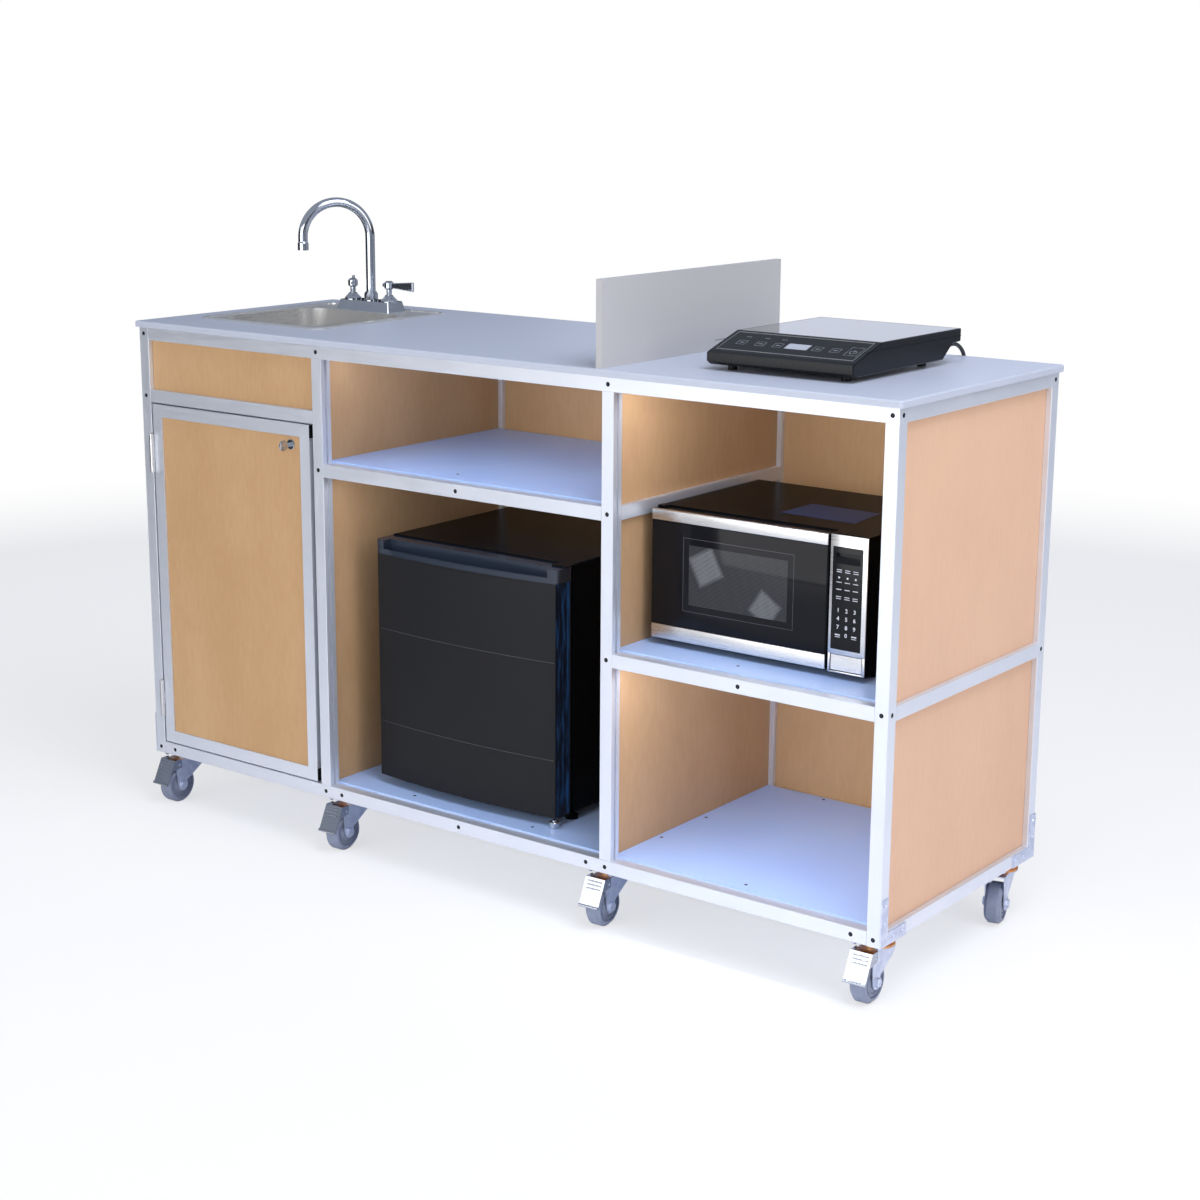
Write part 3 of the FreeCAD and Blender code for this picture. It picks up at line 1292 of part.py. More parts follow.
def make_oven_door():
    z0, z1 = oven_door_low, oven_door_high
    inset = oven_hinge_inset
    swing = inset * math.sqrt(0.5)
    hinge_corner = Vector(oven_hinge_x - swing, oven_hinge_y + swing, z0)
    corners = [Vector(oven_hinge_x, oven_door_back, z0), Vector(oven_door_right, oven_door_back, z0),
               Vector(oven_door_right, oven_front, z0), Vector(oven_left, oven_front, z0),
               Vector(oven_left, oven_hinge_y, z0)]
    edges = [Part.LineSegment(a, b).toShape() for a, b in zip(corners, corners[1:])]
    edges.append(Part.Arc(corners[-1], hinge_corner, corners[0]).toShape())
    door = Part.Face(Part.Wire(edges)).extrude(Vector(0, 0, z1 - z0))
    front_edges = [edge for edge in door.Edges if abs(edge.CenterOfMass.y - oven_front) < clearance]
    door = door.makeFillet(oven_edge_radius, front_edges)
    window = box(oven_left + oven_window_from_left, oven_door_right - oven_window_from_right,
                 oven_front - overrun, oven_front + oven_window_recess,
                 z0 + oven_window_margin, z1 - oven_window_margin)
    door = door.cut(window)
    for start, way in ((z0 - overrun, UP), (z1 + overrun, DOWN)):
        hole = cylinder((oven_hinge_x, oven_hinge_y, start), way, oven_hinge_pin_radius + fit_clearance,
                        overrun + oven_hinge_inset + oven_edge_radius)
        door = door.cut(hole)
    save("microwave_door", [door])


def make_oven_button():
    button = box(button_left, button_right, oven_front - clearance, oven_front + button_depth,
                 button_low, button_low + button_height)
    face_y = oven_front - clearance
    edges = [edge for edge in button.Edges if abs(edge.CenterOfMass.y - face_y) < fit_clearance]
    save("microwave_button", [button.makeFillet(clearance * 3, edges)])


def make_turntable():
    low = cavity_floor + turntable_lift + clearance
    high = low + turntable_plate
    rise = turntable_plate * 1.6
    socket = cavity_floor + clearance
    bore = turntable_drive_radius + fit_clearance
    profile = [(0, low), (bore, low), (bore, socket), (turntable_hub_radius, socket),
               (turntable_hub_radius, low), (turntable_radius * 0.9, low),
               (turntable_radius, low + rise), (turntable_radius, high + rise),
               (turntable_radius * 0.88, high), (0, high)]
    save("microwave_turntable", [turned(profile, turntable_centre)])


# Induction cooktop
cooktop_right = right - cooktop_from_right
cooktop_left = cooktop_right - cooktop_width
cooktop_front = front + cooktop_from_front
cooktop_low = worktop_top + cooktop_foot_height
cooktop_high = cooktop_low + cooktop_body_height
glass_low = cooktop_high - cooktop_glass_thickness
gland_x = cooktop_right - gland_from_right
gland_z = cooktop_low + cooktop_body_height * gland_height_share


def make_cooktop():
    outline = [(cooktop_left, cooktop_front + cooktop_depth * y, cooktop_low + cooktop_body_height * z)
               for y, z in cooktop_outline_shares]
    body = prism(outline, Vector(cooktop_width, 0, 0))
    middle = (cooktop_left + cooktop_right) / 2
    ends = [edge for edge in body.Edges
            if abs(edge.CenterOfMass.x - middle) > cooktop_width / 2 - clearance]
    body = body.makeChamfer(cooktop_edge_radius * 0.6, ends)
    glass_front = cooktop_front + cooktop_depth * cooktop_glass_start_share
    glass_back = cooktop_front + cooktop_depth - cooktop_glass_margin
    sides = (cooktop_left + cooktop_glass_margin, cooktop_right - cooktop_glass_margin)
    recess = box(*sides, glass_front, glass_back, glass_low, cooktop_high + overrun)
    body = body.cut(recess)
    inset = cooktop_foot_radius * 4
    for x in (cooktop_left + inset, cooktop_right - inset):
        for y in (cooktop_front + inset, cooktop_front + cooktop_depth * 0.78):
            foot = cylinder((x, y, worktop_top), UP, cooktop_foot_radius, cooktop_foot_height + overrun)
            body = body.fuse(foot)
    gland_start = cooktop_front + cooktop_depth * gland_start_share
    gland_length = cooktop_depth * (gland_end_share - gland_start_share)
    gland = cylinder((gland_x, gland_start, gland_z), BACKWARD, gland_radius, gland_length)
    save("cooktop_case", [body.fuse(gland).removeSplitter()])
    glass = box(sides[0] + clearance, sides[1] - clearance, glass_front + clearance, glass_back - clearance,
                glass_low, cooktop_high)
    save("cooktop_glass", [glass])


# Cord of the cooktop: free stretches, one coil on the floor and the plug
def coil_path():
    """Half circles whose ends all lie on one line, so each run starts where the last one ends."""
    low = cord_route[-1][2]
    radii = coil_radii_inward + coil_radii_outward
    levels = [low] * len(coil_radii_inward) + [low + coil_layer_rise] * len(coil_radii_outward)
    x, y = coil_centre
    spots = [Vector(x, y + radius * (-1) ** turn, level)
             for turn, (radius, level) in enumerate(zip(radii, levels))]
    lead = cord_radius * 2
    edges = [Part.LineSegment(spots[0] + RIGHT * lead, spots[0]).toShape()]
    for turn, (a, b) in enumerate(zip(spots, spots[1:])):
        swing = RIGHT * (a.distanceToPoint(b) / 2) * (-1) ** (turn + 1)
        edges.append(Part.Arc(a, (a + b) / 2 + swing, b).toShape())
    edges.append(Part.LineSegment(spots[-1], spots[-1] + RIGHT * lead).toShape())
    return Part.Wire(edges)


def least_coil_gap(path):
    """Smallest free distance between stretches that lie more than half a turn apart."""
    points = path.discretize(Distance=cord_radius)
    apart = int(coil_radii_inward[0] * math.pi / cord_radius * 0.9)
    pairs = ((a, b) for index, a in enumerate(points) for b in points[index + apart:])
    return min(a.distanceToPoint(b) for a, b in pairs) - cord_radius * 2


def make_cord():
    main, main_length, main_radii = bent_tube(cord_route, cord_radius)
    tail, tail_length, tail_radii = bent_tube(plug_route, cord_radius)
    print("cord bend radii", [round(radius) for radius in main_radii + tail_radii])
    section = math.pi * cord_radius ** 2
    print("cord tube volume over section times length",
          round((main.Volume + tail.Volume) / (section * (main_length + tail_length)), 4))
    save("cooktop_cord", [main, tail])
    path = coil_path()
    start = path.OrderedVertexes[0].Point
    ring = Part.Wire(Part.makeCircle(cord_radius, start, RIGHT))
    shell = Part.BRepOffsetAPI.MakePipeShell(path)
    shell.add(ring)
    shell.build()
    shell.makeSolid()
    coil = Part.Solid(shell.shape())
    print("coil least gap", round(least_coil_gap(path), 2), "coil length", round(path.Length))
    print("cord length", round(main_length + tail_length + path.Length))
    save("cooktop_cord_coil", [coil])


def make_plug():
    x, y, z = plug_route[-1]

    def outline(reach, width, height):
        block = box(x + reach - overrun, x + reach + overrun, y - width / 2, y + width / 2,
                    z - height / 2, z + height / 2)
        long_edges = [edge for edge in block.Edges if abs(edge.Length - overrun * 2) < fit_clearance]
        block = block.makeFillet(height * 0.3, long_edges)
        return block.slice(RIGHT, x + reach)[0]

    relief = plug_relief_length
    body = Part.makeLoft([outline(relief, plug_width * 0.6, plug_height * 0.6),
                          outline(relief + plug_length * 0.35, plug_width, plug_height)], True, True)
    block = Part.makeLoft([outline(relief + plug_length * 0.35, plug_width, plug_height),
                           outline(relief + plug_length, plug_width, plug_height)], True, True)
    sleeve = Part.makeCone(cord_radius * 1.5, cord_radius * 2, relief, Vector(x, y, z), RIGHT)
    face = x + relief + plug_length
    pieces = [body, block, sleeve]
    for side in (-1, 1):
        blade_y = y + side * plug_blade_spacing / 2
        pieces.append(box(face - overrun, face + plug_blade_length, blade_y - plug_blade_thickness / 2,
                          blade_y + plug_blade_thickness / 2, z, z + plug_blade_height))
    pieces.append(cylinder((face - overrun, y, z - plug_blade_height), RIGHT, plug_ground_radius,
                           overrun + plug_blade_length + overrun / 2))
    save("cooktop_plug", [fuse(pieces)])


def main():
    os.makedirs(parts_folder, exist_ok=True)
    make_frame_posts()
    save("frame_rails", long_rails() + cross_rails())
    make_corner_plates()
    make_panels()
    make_decks()
    make_worktop()
    make_sink()
    make_drain()
    make_faucet_base()
    make_faucet_spout()
    make_handle("hot_handle", faucet_x - handle_spread, hot_handle_yaw)
    make_handle("cold_handle", faucet_x + handle_spread, cold_handle_yaw)
    make_tank("waste_water_tank", waste_tank_left, waste_tank_right, drain_centre[0])
    make_tank("fresh_water_tank", fresh_tank_left, fresh_tank_right, fresh_neck_x)
    make_pump()
    make_door()
    make_hinges()
    make_lock()
    make_casters()
    make_fridge_cabinet()
    make_fridge_door()
    make_oven_case()
    make_oven_door()
    make_oven_button()
    make_turntable()
    make_cooktop()
    make_cord()
    make_plug()


main()
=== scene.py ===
# %% [markdown]
# # A portable kitchen on casters
#
# The real object is a slotted aluminium frame on eight casters. Maple panels slide in the
# slots, white sheets make the shelves, and a pale laminate slab carries a small sink and an
# induction cooktop. A compact fridge and a microwave oven stand on the shelves.
#
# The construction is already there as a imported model. This lesson dresses it: each finish is
# built from what the real material is, and each small thing that the construction leaves out,
# such as screws, trims and printed keys, is made as a mesh that rides on the body it belongs to.

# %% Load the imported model
import math

import bmesh
import bpy
from mathutils import Matrix, Vector


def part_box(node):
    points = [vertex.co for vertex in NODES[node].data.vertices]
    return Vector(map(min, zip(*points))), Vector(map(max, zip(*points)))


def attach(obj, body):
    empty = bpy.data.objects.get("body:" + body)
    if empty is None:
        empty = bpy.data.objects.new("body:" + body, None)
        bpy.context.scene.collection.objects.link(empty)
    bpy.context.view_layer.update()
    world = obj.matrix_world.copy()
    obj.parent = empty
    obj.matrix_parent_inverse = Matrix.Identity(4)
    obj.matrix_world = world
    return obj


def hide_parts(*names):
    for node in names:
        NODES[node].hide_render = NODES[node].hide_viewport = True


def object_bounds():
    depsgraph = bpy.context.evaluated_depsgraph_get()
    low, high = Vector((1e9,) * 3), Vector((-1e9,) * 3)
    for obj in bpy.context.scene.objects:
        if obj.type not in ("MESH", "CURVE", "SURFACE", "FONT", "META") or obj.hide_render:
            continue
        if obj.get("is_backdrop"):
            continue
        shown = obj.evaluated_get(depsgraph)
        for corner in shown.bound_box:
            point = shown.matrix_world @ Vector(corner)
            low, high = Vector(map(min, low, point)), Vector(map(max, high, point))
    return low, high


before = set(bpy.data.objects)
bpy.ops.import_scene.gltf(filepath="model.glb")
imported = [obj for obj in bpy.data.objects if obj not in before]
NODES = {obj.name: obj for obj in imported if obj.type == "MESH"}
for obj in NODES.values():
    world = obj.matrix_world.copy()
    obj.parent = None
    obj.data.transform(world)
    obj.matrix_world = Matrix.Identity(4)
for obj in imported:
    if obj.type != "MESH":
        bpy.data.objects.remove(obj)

CAD_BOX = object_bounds()
SCENE = bpy.context.scene
MM = 0.001

# %% [markdown]
# ## Camera, sky, floor and lamps
#
# The photograph is taken from the right, a little above the worktop, with a short telephoto
# lens. The object is lit as outdoors in open shade: a soft sky, and one wide card in front that
# stands low, so that its light reaches the backs of the open bays. A metal only shows what it
# mirrors: the horizon is a dark line for the chrome, and the paving is darker on the left. A
# small card behind is there for the cooktop's glass alone, which mirrors it at a low angle. A
# narrow soft strip under the top rail of each bay stands for the sky that falls in from above.

# %% Camera
CAMERA_PLACE = Vector((2.4722, -3.1655, 1.4726))
CAMERA_AHEAD = Vector((-0.5858, 0.7759, -0.2340)).normalized()
CAMERA_ROLL = math.radians(0.36)
LENS = 65.13
SENSOR = 36.0


def put(name, data):
    """A new object in the scene."""
    made = bpy.data.objects.new(name, data)
    SCENE.collection.objects.link(made)
    return made


camera = put("camera", bpy.data.cameras.new("camera"))
camera.data.lens = LENS
camera.data.sensor_width = SENSOR
camera.matrix_world = (
    Matrix.Translation(CAMERA_PLACE)
    @ CAMERA_AHEAD.to_track_quat("-Z", "Y").to_matrix().to_4x4()
    @ Matrix.Rotation(CAMERA_ROLL, 4, "Z")
)
SCENE.camera = camera
SCENE.view_settings.view_transform = "Standard"
print("camera at", tuple(round(c, 3) for c in camera.location), "lens", LENS)


# %% Colours and nodes
def linear(code):
    """sRGB hex such as '#C9CED8' as linear values."""
    channels = [int(code[place:place + 2], 16) / 255 for place in (1, 3, 5)]
    values = [c / 12.92 if c <= 0.04045 else ((c + 0.055) / 1.055) ** 2.4 for c in channels]
    return (*values, 1.0)


def feed(node, inputs):
    """Gives a node its inputs; each is a value, or an output socket to link."""
    for socket, value in inputs.items():
        if isinstance(value, bpy.types.NodeSocket):
            node.id_data.links.new(value, node.inputs[socket])
        else:
            node.inputs[socket].default_value = value


def add(tree, kind, inputs=None, **settings):
    """Adds a node with its settings and its inputs."""
    node = tree.nodes.new(kind)
    for name, value in settings.items():
        setattr(node, name, value)
    feed(node, inputs or {})
    return node


def maths(tree, operation, *values):
    """The result of one sum on numbers."""
    return add(tree, "ShaderNodeMath", dict(enumerate(values)), operation=operation).outputs[0]


def vector_maths(tree, operation, *values, result="Vector"):
    """The result of one sum on vectors."""
    node = add(tree, "ShaderNodeVectorMath", dict(enumerate(values)), operation=operation)
    return node.outputs[result]


def axes(tree, vector):
    """The three numbers of a vector: x, y and z."""
    return add(tree, "ShaderNodeSeparateXYZ", {"Vector": vector}).outputs


def between(tree, factor, low, high):
    """Mixes two colours by a factor; a colour is a hex code or a socket."""
    low, high = (linear(colour) if isinstance(colour, str) else colour for colour in (low, high))
    mix = add(tree, "ShaderNodeMix", {"Factor": factor, "A": low, "B": high}, data_type="RGBA")
    return mix.outputs["Result"]


def spread(tree, value, low, high, from_low=0.35, from_high=0.65, ease="LINEAR"):
    """Maps a value to a range, for roughness and masks."""
    inputs = {"Value": value, "From Min": from_low, "From Max": from_high, "To Min": low, "To Max": high}
    return add(tree, "ShaderNodeMapRange", inputs, interpolation_type=ease).outputs[0]


def empty_tree(owner):
    """The node tree of a world or a material, with nothing in it."""
    owner.use_nodes = True
    owner.node_tree.nodes.clear()
    return owner.node_tree


# %% Sky
SKY, SKY_STRENGTH = "#C3CCDD", 0.60
HEDGE, HEDGE_TOP, HEDGE_BLUR = "#1E2328", 0.08, 0.20
PAPER = linear("#FFFFFF")

world = bpy.data.worlds.new("open_shade")
SCENE.world = world
tree = empty_tree(world)
camera_ray = add(tree, "ShaderNodeLightPath").outputs["Is Camera Ray"]
rise = axes(tree, add(tree, "ShaderNodeTexCoord").outputs["Generated"])["Z"]
clear = spread(tree, rise, 0.0, 1.0, HEDGE_TOP, HEDGE_TOP + HEDGE_BLUR, "SMOOTHSTEP")
dome = between(tree, clear, HEDGE, SKY)
light = add(tree, "ShaderNodeBackground", {"Color": dome, "Strength": SKY_STRENGTH})
paper = add(tree, "ShaderNodeBackground", {"Color": PAPER, "Strength": 1.0})
seen = add(tree, "ShaderNodeMixShader", {0: camera_ray, 1: light.outputs[0], 2: paper.outputs[0]})
add(tree, "ShaderNodeOutputWorld", {"Surface": seen.outputs[0]})
print("sky", SKY, "hedge", HEDGE)

# %% Floor
FLOOR_HALF = 40.0
FLOOR_FADE = (1.5, 4.5)
FLOOR_WHITE, PAVING = "#FBFBFC", "#23272E"
PAVING_FADE = (-3.0, -0.4)
LEAST_PAPER = 0.62


def floor_material():
    """White paper for the camera; what mirrors it finds paving, darker towards the left."""
    material = bpy.data.materials.new("studio_paper")
    tree = empty_tree(material)
    camera_ray = add(tree, "ShaderNodeLightPath").outputs["Is Camera Ray"]
    place = add(tree, "ShaderNodeTexCoord").outputs["Object"]
    far = vector_maths(tree, "LENGTH", place, result="Value")
    fade = spread(tree, far, 0.0, 1.0, *FLOOR_FADE, "SMOOTHSTEP")
    right = spread(tree, axes(tree, place)["X"], 0.0, 1.0, *PAVING_FADE)
    colour = between(tree, camera_ray, between(tree, right, PAVING, FLOOR_WHITE), FLOOR_WHITE)
    shade = add(tree, "ShaderNodeBsdfDiffuse", {"Color": colour})
    bright = add(tree, "ShaderNodeEmission", {"Color": PAPER, "Strength": 1.0})
    white = maths(tree, "MULTIPLY", maths(tree, "MAXIMUM", fade, LEAST_PAPER), camera_ray)
    mix = add(tree, "ShaderNodeMixShader", {0: white, 1: shade.outputs[0], 2: bright.outputs[0]})
    add(tree, "ShaderNodeOutputMaterial", {"Surface": mix.outputs[0]})
    return material


corners = [(x * FLOOR_HALF, y * FLOOR_HALF, 0) for x, y in ((-1, -1), (1, -1), (1, 1), (-1, 1))]
floor_mesh = bpy.data.meshes.new("studio_floor")
floor_mesh.from_pydata(corners, [], [(0, 1, 2, 3)])
floor_mesh.materials.append(floor_material())
floor = put("studio_floor", floor_mesh)
floor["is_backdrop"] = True
print("floor fades to white between", FLOOR_FADE, "m")

# %% Lamps
MIDDLE = (0.0, 0.0, 0.5)
LAMPS = [
    # name, place, aim, size (m), power (W), colour
    ("card_in_front", (-0.3, -4.4, 1.25), MIDDLE, (4.8, 2.4), 112.0, "#FFFFFF"),
    ("window_right", (4.6, -0.6, 2.0), MIDDLE, (3.0, 3.0), 64.0, "#FFFAF4"),
    ("sky_above", (1.7, -0.6, 3.2), (0.3, 0.0, 1.0), (2.0, 2.0), 68.0, "#E8EEFF"),
    ("card_behind", (-1.9, 4.4, 1.7), MIDDLE, (2.6, 1.4), 11.0, "#E9EEFF"),
    ("bay_over_shelf", (-0.035, -0.262, 0.957), (-0.035, 0.27, 0.840), (0.60, 0.02), 0.72, "#F2F5FF"),
    ("bay_of_oven", (0.575, -0.262, 0.957), (0.575, 0.20, 0.700), (0.46, 0.02), 1.25, "#F2F5FF"),
    ("bay_of_fridge", (-0.035, -0.262, 0.735), (-0.035, -0.05, 0.134), (0.60, 0.03), 0.50, "#F2F5FF"),
    ("bay_low_right", (0.575, -0.262, 0.480), (0.575, 0.02, 0.134), (0.46, 0.02), 1.15, "#F2F5FF"),
]
for name, place, aim, size, power, colour in LAMPS:
    lamp = put(name, bpy.data.lights.new(name, "AREA"))
    lamp.data.shape = "RECTANGLE"
    lamp.data.size, lamp.data.size_y = size
    lamp.data.energy = power
    lamp.data.color = linear(colour)[:3]
    lamp.location = place
    lamp.rotation_euler = (Vector(aim) - Vector(place)).to_track_quat("-Z", "Y").to_euler()
print("lamps", [row[0] for row in LAMPS])

# %% [markdown]
# ## The finishes
#
# Each material is named for what it is and how its surface was made. The patterns read Object
# coordinates in metres, so a scale of 1 / 0.002 gives a feature of about two millimetres.


# %% A material, its noise and its bump
def surface(shader, **inputs):
    """Gives a shader its inputs; base_color stands for the input Base Color."""
    feed(shader, {word.replace("_", " ").title().replace("Ior", "IOR"): value
                  for word, value in inputs.items()})


def start_material(name, colour, **inputs):
    material = bpy.data.materials.new(name)
    material.use_nodes = True
    shader = material.node_tree.nodes["Principled BSDF"]
    surface(shader, base_color=linear(colour), **inputs)
    print("material", name)
    return material, material.node_tree, shader


def object_place(tree):
    """The place on the object, in metres."""
    return add(tree, "ShaderNodeTexCoord").outputs["Object"]


def noise(tree, size_mm, detail=2.0, rough=0.5, stretch=(1.0, 1.0, 1.0)):
    """Noise with features of a size; a stretch below 1 draws them out along that axis."""
    place = add(tree, "ShaderNodeMapping", {"Vector": object_place(tree), "Scale": stretch})
    return add(tree, "ShaderNodeTexNoise", {"Vector": place.outputs[0], "Scale": 1 / (size_mm * MM),
                                            "Detail": detail, "Roughness": rough}).outputs["Fac"]


def drawn_out(axis, share):
    """The stretch of a pattern that runs along one axis."""
    return [share if name == axis else 1.0 for name in "xyz"]


def bump(tree, height, depth_mm, strength):
    inputs = {"Height": height, "Distance": depth_mm * MM, "Strength": strength}
    return add(tree, "ShaderNodeBump", inputs).outputs[0]


# %% Anodised aluminium, drawn through a die
def anodised_aluminium(axis):
    """Satin clear anodising. Fine die lines run along the profile and stretch its sheen."""
    material, tree, shader = start_material(f"anodised_aluminium_drawn_along_{axis}", "#E2E6ED",
                                            metallic=0.6, roughness=0.36)
    lines = noise(tree, 1.2, detail=3.0, stretch=drawn_out(axis, 0.02))
    surface(shader, base_color=between(tree, noise(tree, 90.0), "#DDE1E9", "#E8EBF1"),
            roughness=spread(tree, lines, 0.30, 0.44), normal=bump(tree, lines, 0.015, 0.4))
    return material


ALUMINIUM_UP = anodised_aluminium("z")
ALUMINIUM_ACROSS = anodised_aluminium("x")


# %% Maple veneer
def maple_veneer(name, dark, light, fleck):
    """Rotary-cut maple under satin lacquer: a soft cloudy figure with short darker flecks."""
    material, tree, shader = start_material(name, light, roughness=0.45, specular_ior_level=0.25)
    figure = noise(tree, 190.0, detail=4.0, rough=0.6, stretch=(1.0, 1.0, 0.45))
    fine = noise(tree, 11.0, detail=3.0, stretch=(1.5, 1.5, 0.35))
    cloud = maths(tree, "ADD", figure, maths(tree, "MULTIPLY", fine, 0.45))
    wood = between(tree, spread(tree, cloud, 0.0, 1.0, 0.55, 0.90), dark, light)
    mark = noise(tree, 7.0, detail=1.0, stretch=(1.6, 1.6, 0.3))
    pores = noise(tree, 0.8, stretch=(1.0, 1.0, 0.1))
    surface(shader, base_color=between(tree, spread(tree, mark, 0.0, 0.30, 0.70, 0.82), wood, fleck),
            normal=bump(tree, pores, 0.02, 0.4))
    return material


MAPLE_FRONT = maple_veneer("maple_veneer_front", "#BD966B", "#C7A177", "#B0875B")
# The end panels' copy is lighter: partly their own pinker tone, and partly painted light for the side that faces the
# light.
MAPLE_END_PAINTED_LIGHTER = maple_veneer("maple_veneer_end_painted_lighter", "#D9B092", "#DFB697", "#CC9F80")
# The inside copy is painted lighter to make up for the shade in the bays: painted fill light.
MAPLE_INSIDE_PAINTED_FILL = maple_veneer("maple_veneer_inside_painted_fill", "#BF986E", "#C9A279", "#B18A61")


# %% Sheets and laminates
def white_sheet():
    """Thin glossy white sheet; its base colour is painted pale blue for the sky it mirrors: a painted reflection."""
    material, tree, shader = start_material("glossy_white_sheet_painted_sky_blue", "#B6D0FF", roughness=0.34)
    wave = noise(tree, 160.0, detail=1.0)
    surface(shader, base_color=between(tree, wave, "#AFCBFF", "#BFD8FF"), normal=bump(tree, wave, 0.3, 0.2))
    return material


def laminate(name, dark, light, roughness):
    """High-pressure laminate: a fine speckle under a slightly pebbled press finish."""
    material, tree, shader = start_material(name, light, roughness=roughness)
    speckle = noise(tree, 1.4, detail=4.0)
    surface(shader, base_color=between(tree, speckle, dark, light), normal=bump(tree, speckle, 0.03, 0.35))
    return material


PAINTED_SKY_BLUE_SHEET = white_sheet()
WORKTOP = laminate("pale_laminate", "#B4B9C6", "#C0C5D0", 0.42)
DIVIDER = laminate("grey_laminate", "#B0AEAD", "#BBB9B8", 0.50)


# %% Steels, chrome and zinc
def stainless(name, brushed_along, colour, low, high, metallic=1.0):
    """Brushed stainless steel: long fine scratches that spread the sheen across them."""
    material, tree, shader = start_material(name, colour, metallic=metallic, roughness=0.3)
    scratch = noise(tree, 0.7, detail=4.0, stretch=drawn_out(brushed_along, 0.015))
    surface(shader, roughness=spread(tree, scratch, low, high), normal=bump(tree, scratch, 0.01, 0.6))
    return material


def plated(name, colour, other, roughness, blotch_mm, metallic=1.0):
    """Electroplated steel: a bright metal whose passivation colours it unevenly."""
    material, tree, shader = start_material(name, colour, metallic=metallic, roughness=roughness)
    blotch = noise(tree, blotch_mm, detail=3.0)
    surface(shader, base_color=between(tree, spread(tree, blotch, 0.0, 1.0), colour, other),
            roughness=spread(tree, blotch, roughness, roughness * 1.6))
    return material


STAINLESS = stainless("brushed_stainless_steel", "x", "#DAD9D8", 0.26, 0.33)
STAINLESS_BOWL = stainless("satin_stainless_steel_bowl", "y", "#E6E4E0", 0.24, 0.38, metallic=0.86)
CHROME = plated("polished_chrome", "#C6CAD0", "#BBC0C8", 0.04, 60.0, metallic=0.92)
PEDAL_STEEL = plated("bright_nickel_pressing", "#B4B8BF", "#A8ACB5", 0.14, 45.0)
ZINC = plated("blue_passivated_zinc", "#DDE2EF", "#D0D6E7", 0.40, 14.0)
GOLD_ZINC = plated("yellow_passivated_zinc", "#E2A768", "#C98F62", 0.28, 9.0)
DARK_STEEL = plated("blackened_steel", "#2C2D31", "#212226", 0.35, 4.0)


# %% Rubbers and plastics
def moulded(name, colour, other, roughness, grain_mm, depth_mm, **inputs):
    """A moulded or painted skin: an even colour with a fine grain from the tool or the spray."""
    material, tree, shader = start_material(name, colour, roughness=roughness, **inputs)
    grain = noise(tree, grain_mm, detail=3.0)
    surface(shader, base_color=between(tree, grain, colour, other), normal=bump(tree, grain, depth_mm, 0.5))
    return material


GREY_RUBBER = moulded("grey_thermoplastic_rubber", "#757C90", "#8A91A5", 0.38, 6.0, 0.06)
BLACK_ABS = moulded("black_abs_moulded", "#0F1013", "#141518", 0.20, 1.0, 0.01, specular_ior_level=0.22)
BLACK_RUBBER = moulded("black_rubber", "#17181B", "#1E1F22", 0.6, 1.2, 0.03)
BLACK_PVC = moulded("black_pvc_sheath", "#1B1C1F", "#232428", 0.42, 1.0, 0.01)
BLACK_ENAMEL = moulded("black_gloss_enamel", "#101114", "#141519", 0.22, 2.5, 0.03, specular_ior_level=0.06)
PATCH_FILM = moulded("blue_protective_film", "#14243F", "#1B3052", 0.40, 25.0, 0.1, specular_ior_level=0.1)
FAINT_LINE = moulded("pressed_line_in_skin", "#4A4B50", "#55565B", 0.4, 2.0, 0.0)
GREY_GASKET = moulded("grey_magnetic_gasket", "#5B5D61", "#66686C", 0.6, 1.5, 0.02)
# Painted shade: a black strip that stands for the shadow inside a slot or a gap.
PAINTED_SHADOW_GAP = moulded("black_shadow_gap", "#060708", "#08090A", 0.5, 1.5, 0.0, specular_ior_level=0.2)
PRINT = moulded("pale_grey_print", "#C9CBD1", "#D3D5DA", 0.5, 1.0, 0.0)
FAINT_PRINT = moulded("dim_grey_print", "#74767C", "#7E8086", 0.5, 1.0, 0.0)
DISPLAY = moulded("liquid_crystal_display", "#A6A9B2", "#B0B3BB", 0.25, 3.0, 0.0)


# %% Mouldings with two surfaces
def inside_box(tree, low, high):
    """1 inside a box and 0 outside it, so that one mesh can carry a skin and a liner."""
    low, high = Vector(low), Vector(high)
    away = vector_maths(tree, "SUBTRACT", object_place(tree), (low + high) / 2)
    over = vector_maths(tree, "SUBTRACT", vector_maths(tree, "ABSOLUTE", away), (high - low) / 2)
    x, y, z = axes(tree, over)
    return maths(tree, "LESS_THAN", maths(tree, "MAXIMUM", maths(tree, "MAXIMUM", x, y), z), 0.0)


def two_tone(name, skin, liner, roughness, low, high, **inputs):
    """A moulding whose skin is one colour and whose part inside a box is another."""
    material, tree, shader = start_material(name, skin, roughness=roughness, **inputs)
    surface(shader, base_color=between(tree, inside_box(tree, low, high), skin, liner),
            normal=bump(tree, noise(tree, 2.0), 0.02, 0.5))
    return material


LINER_WHITE = "#DFE3E6"
FRIDGE_CASE = two_tone("black_case_white_liner", "#0D0E10", LINER_WHITE, 0.24,
                       (-0.2642, -0.1533, 0.1850), (0.1039, 0.2035, 0.5850), specular_ior_level=0.04)
OVEN_CASE = two_tone("black_case_grey_cavity", "#090A0C", "#A4A6A8", 0.22,
                     (0.3460, -0.1510, 0.5447), (0.6560, 0.1345, 0.7247), specular_ior_level=0.012)
TANK = two_tone("natural_polyethylene_blue_cap", "#D6DDE0", "#3C6FB0", 0.4,
                (-1.0, -1.0, 0.5361), (1.0, 1.0, 0.7))

# %% The fridge door: smoke-blue grip, black grained skin, white inner face
GRIP_TALL = 0.026
fridge_low, fridge_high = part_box("fridge_door")


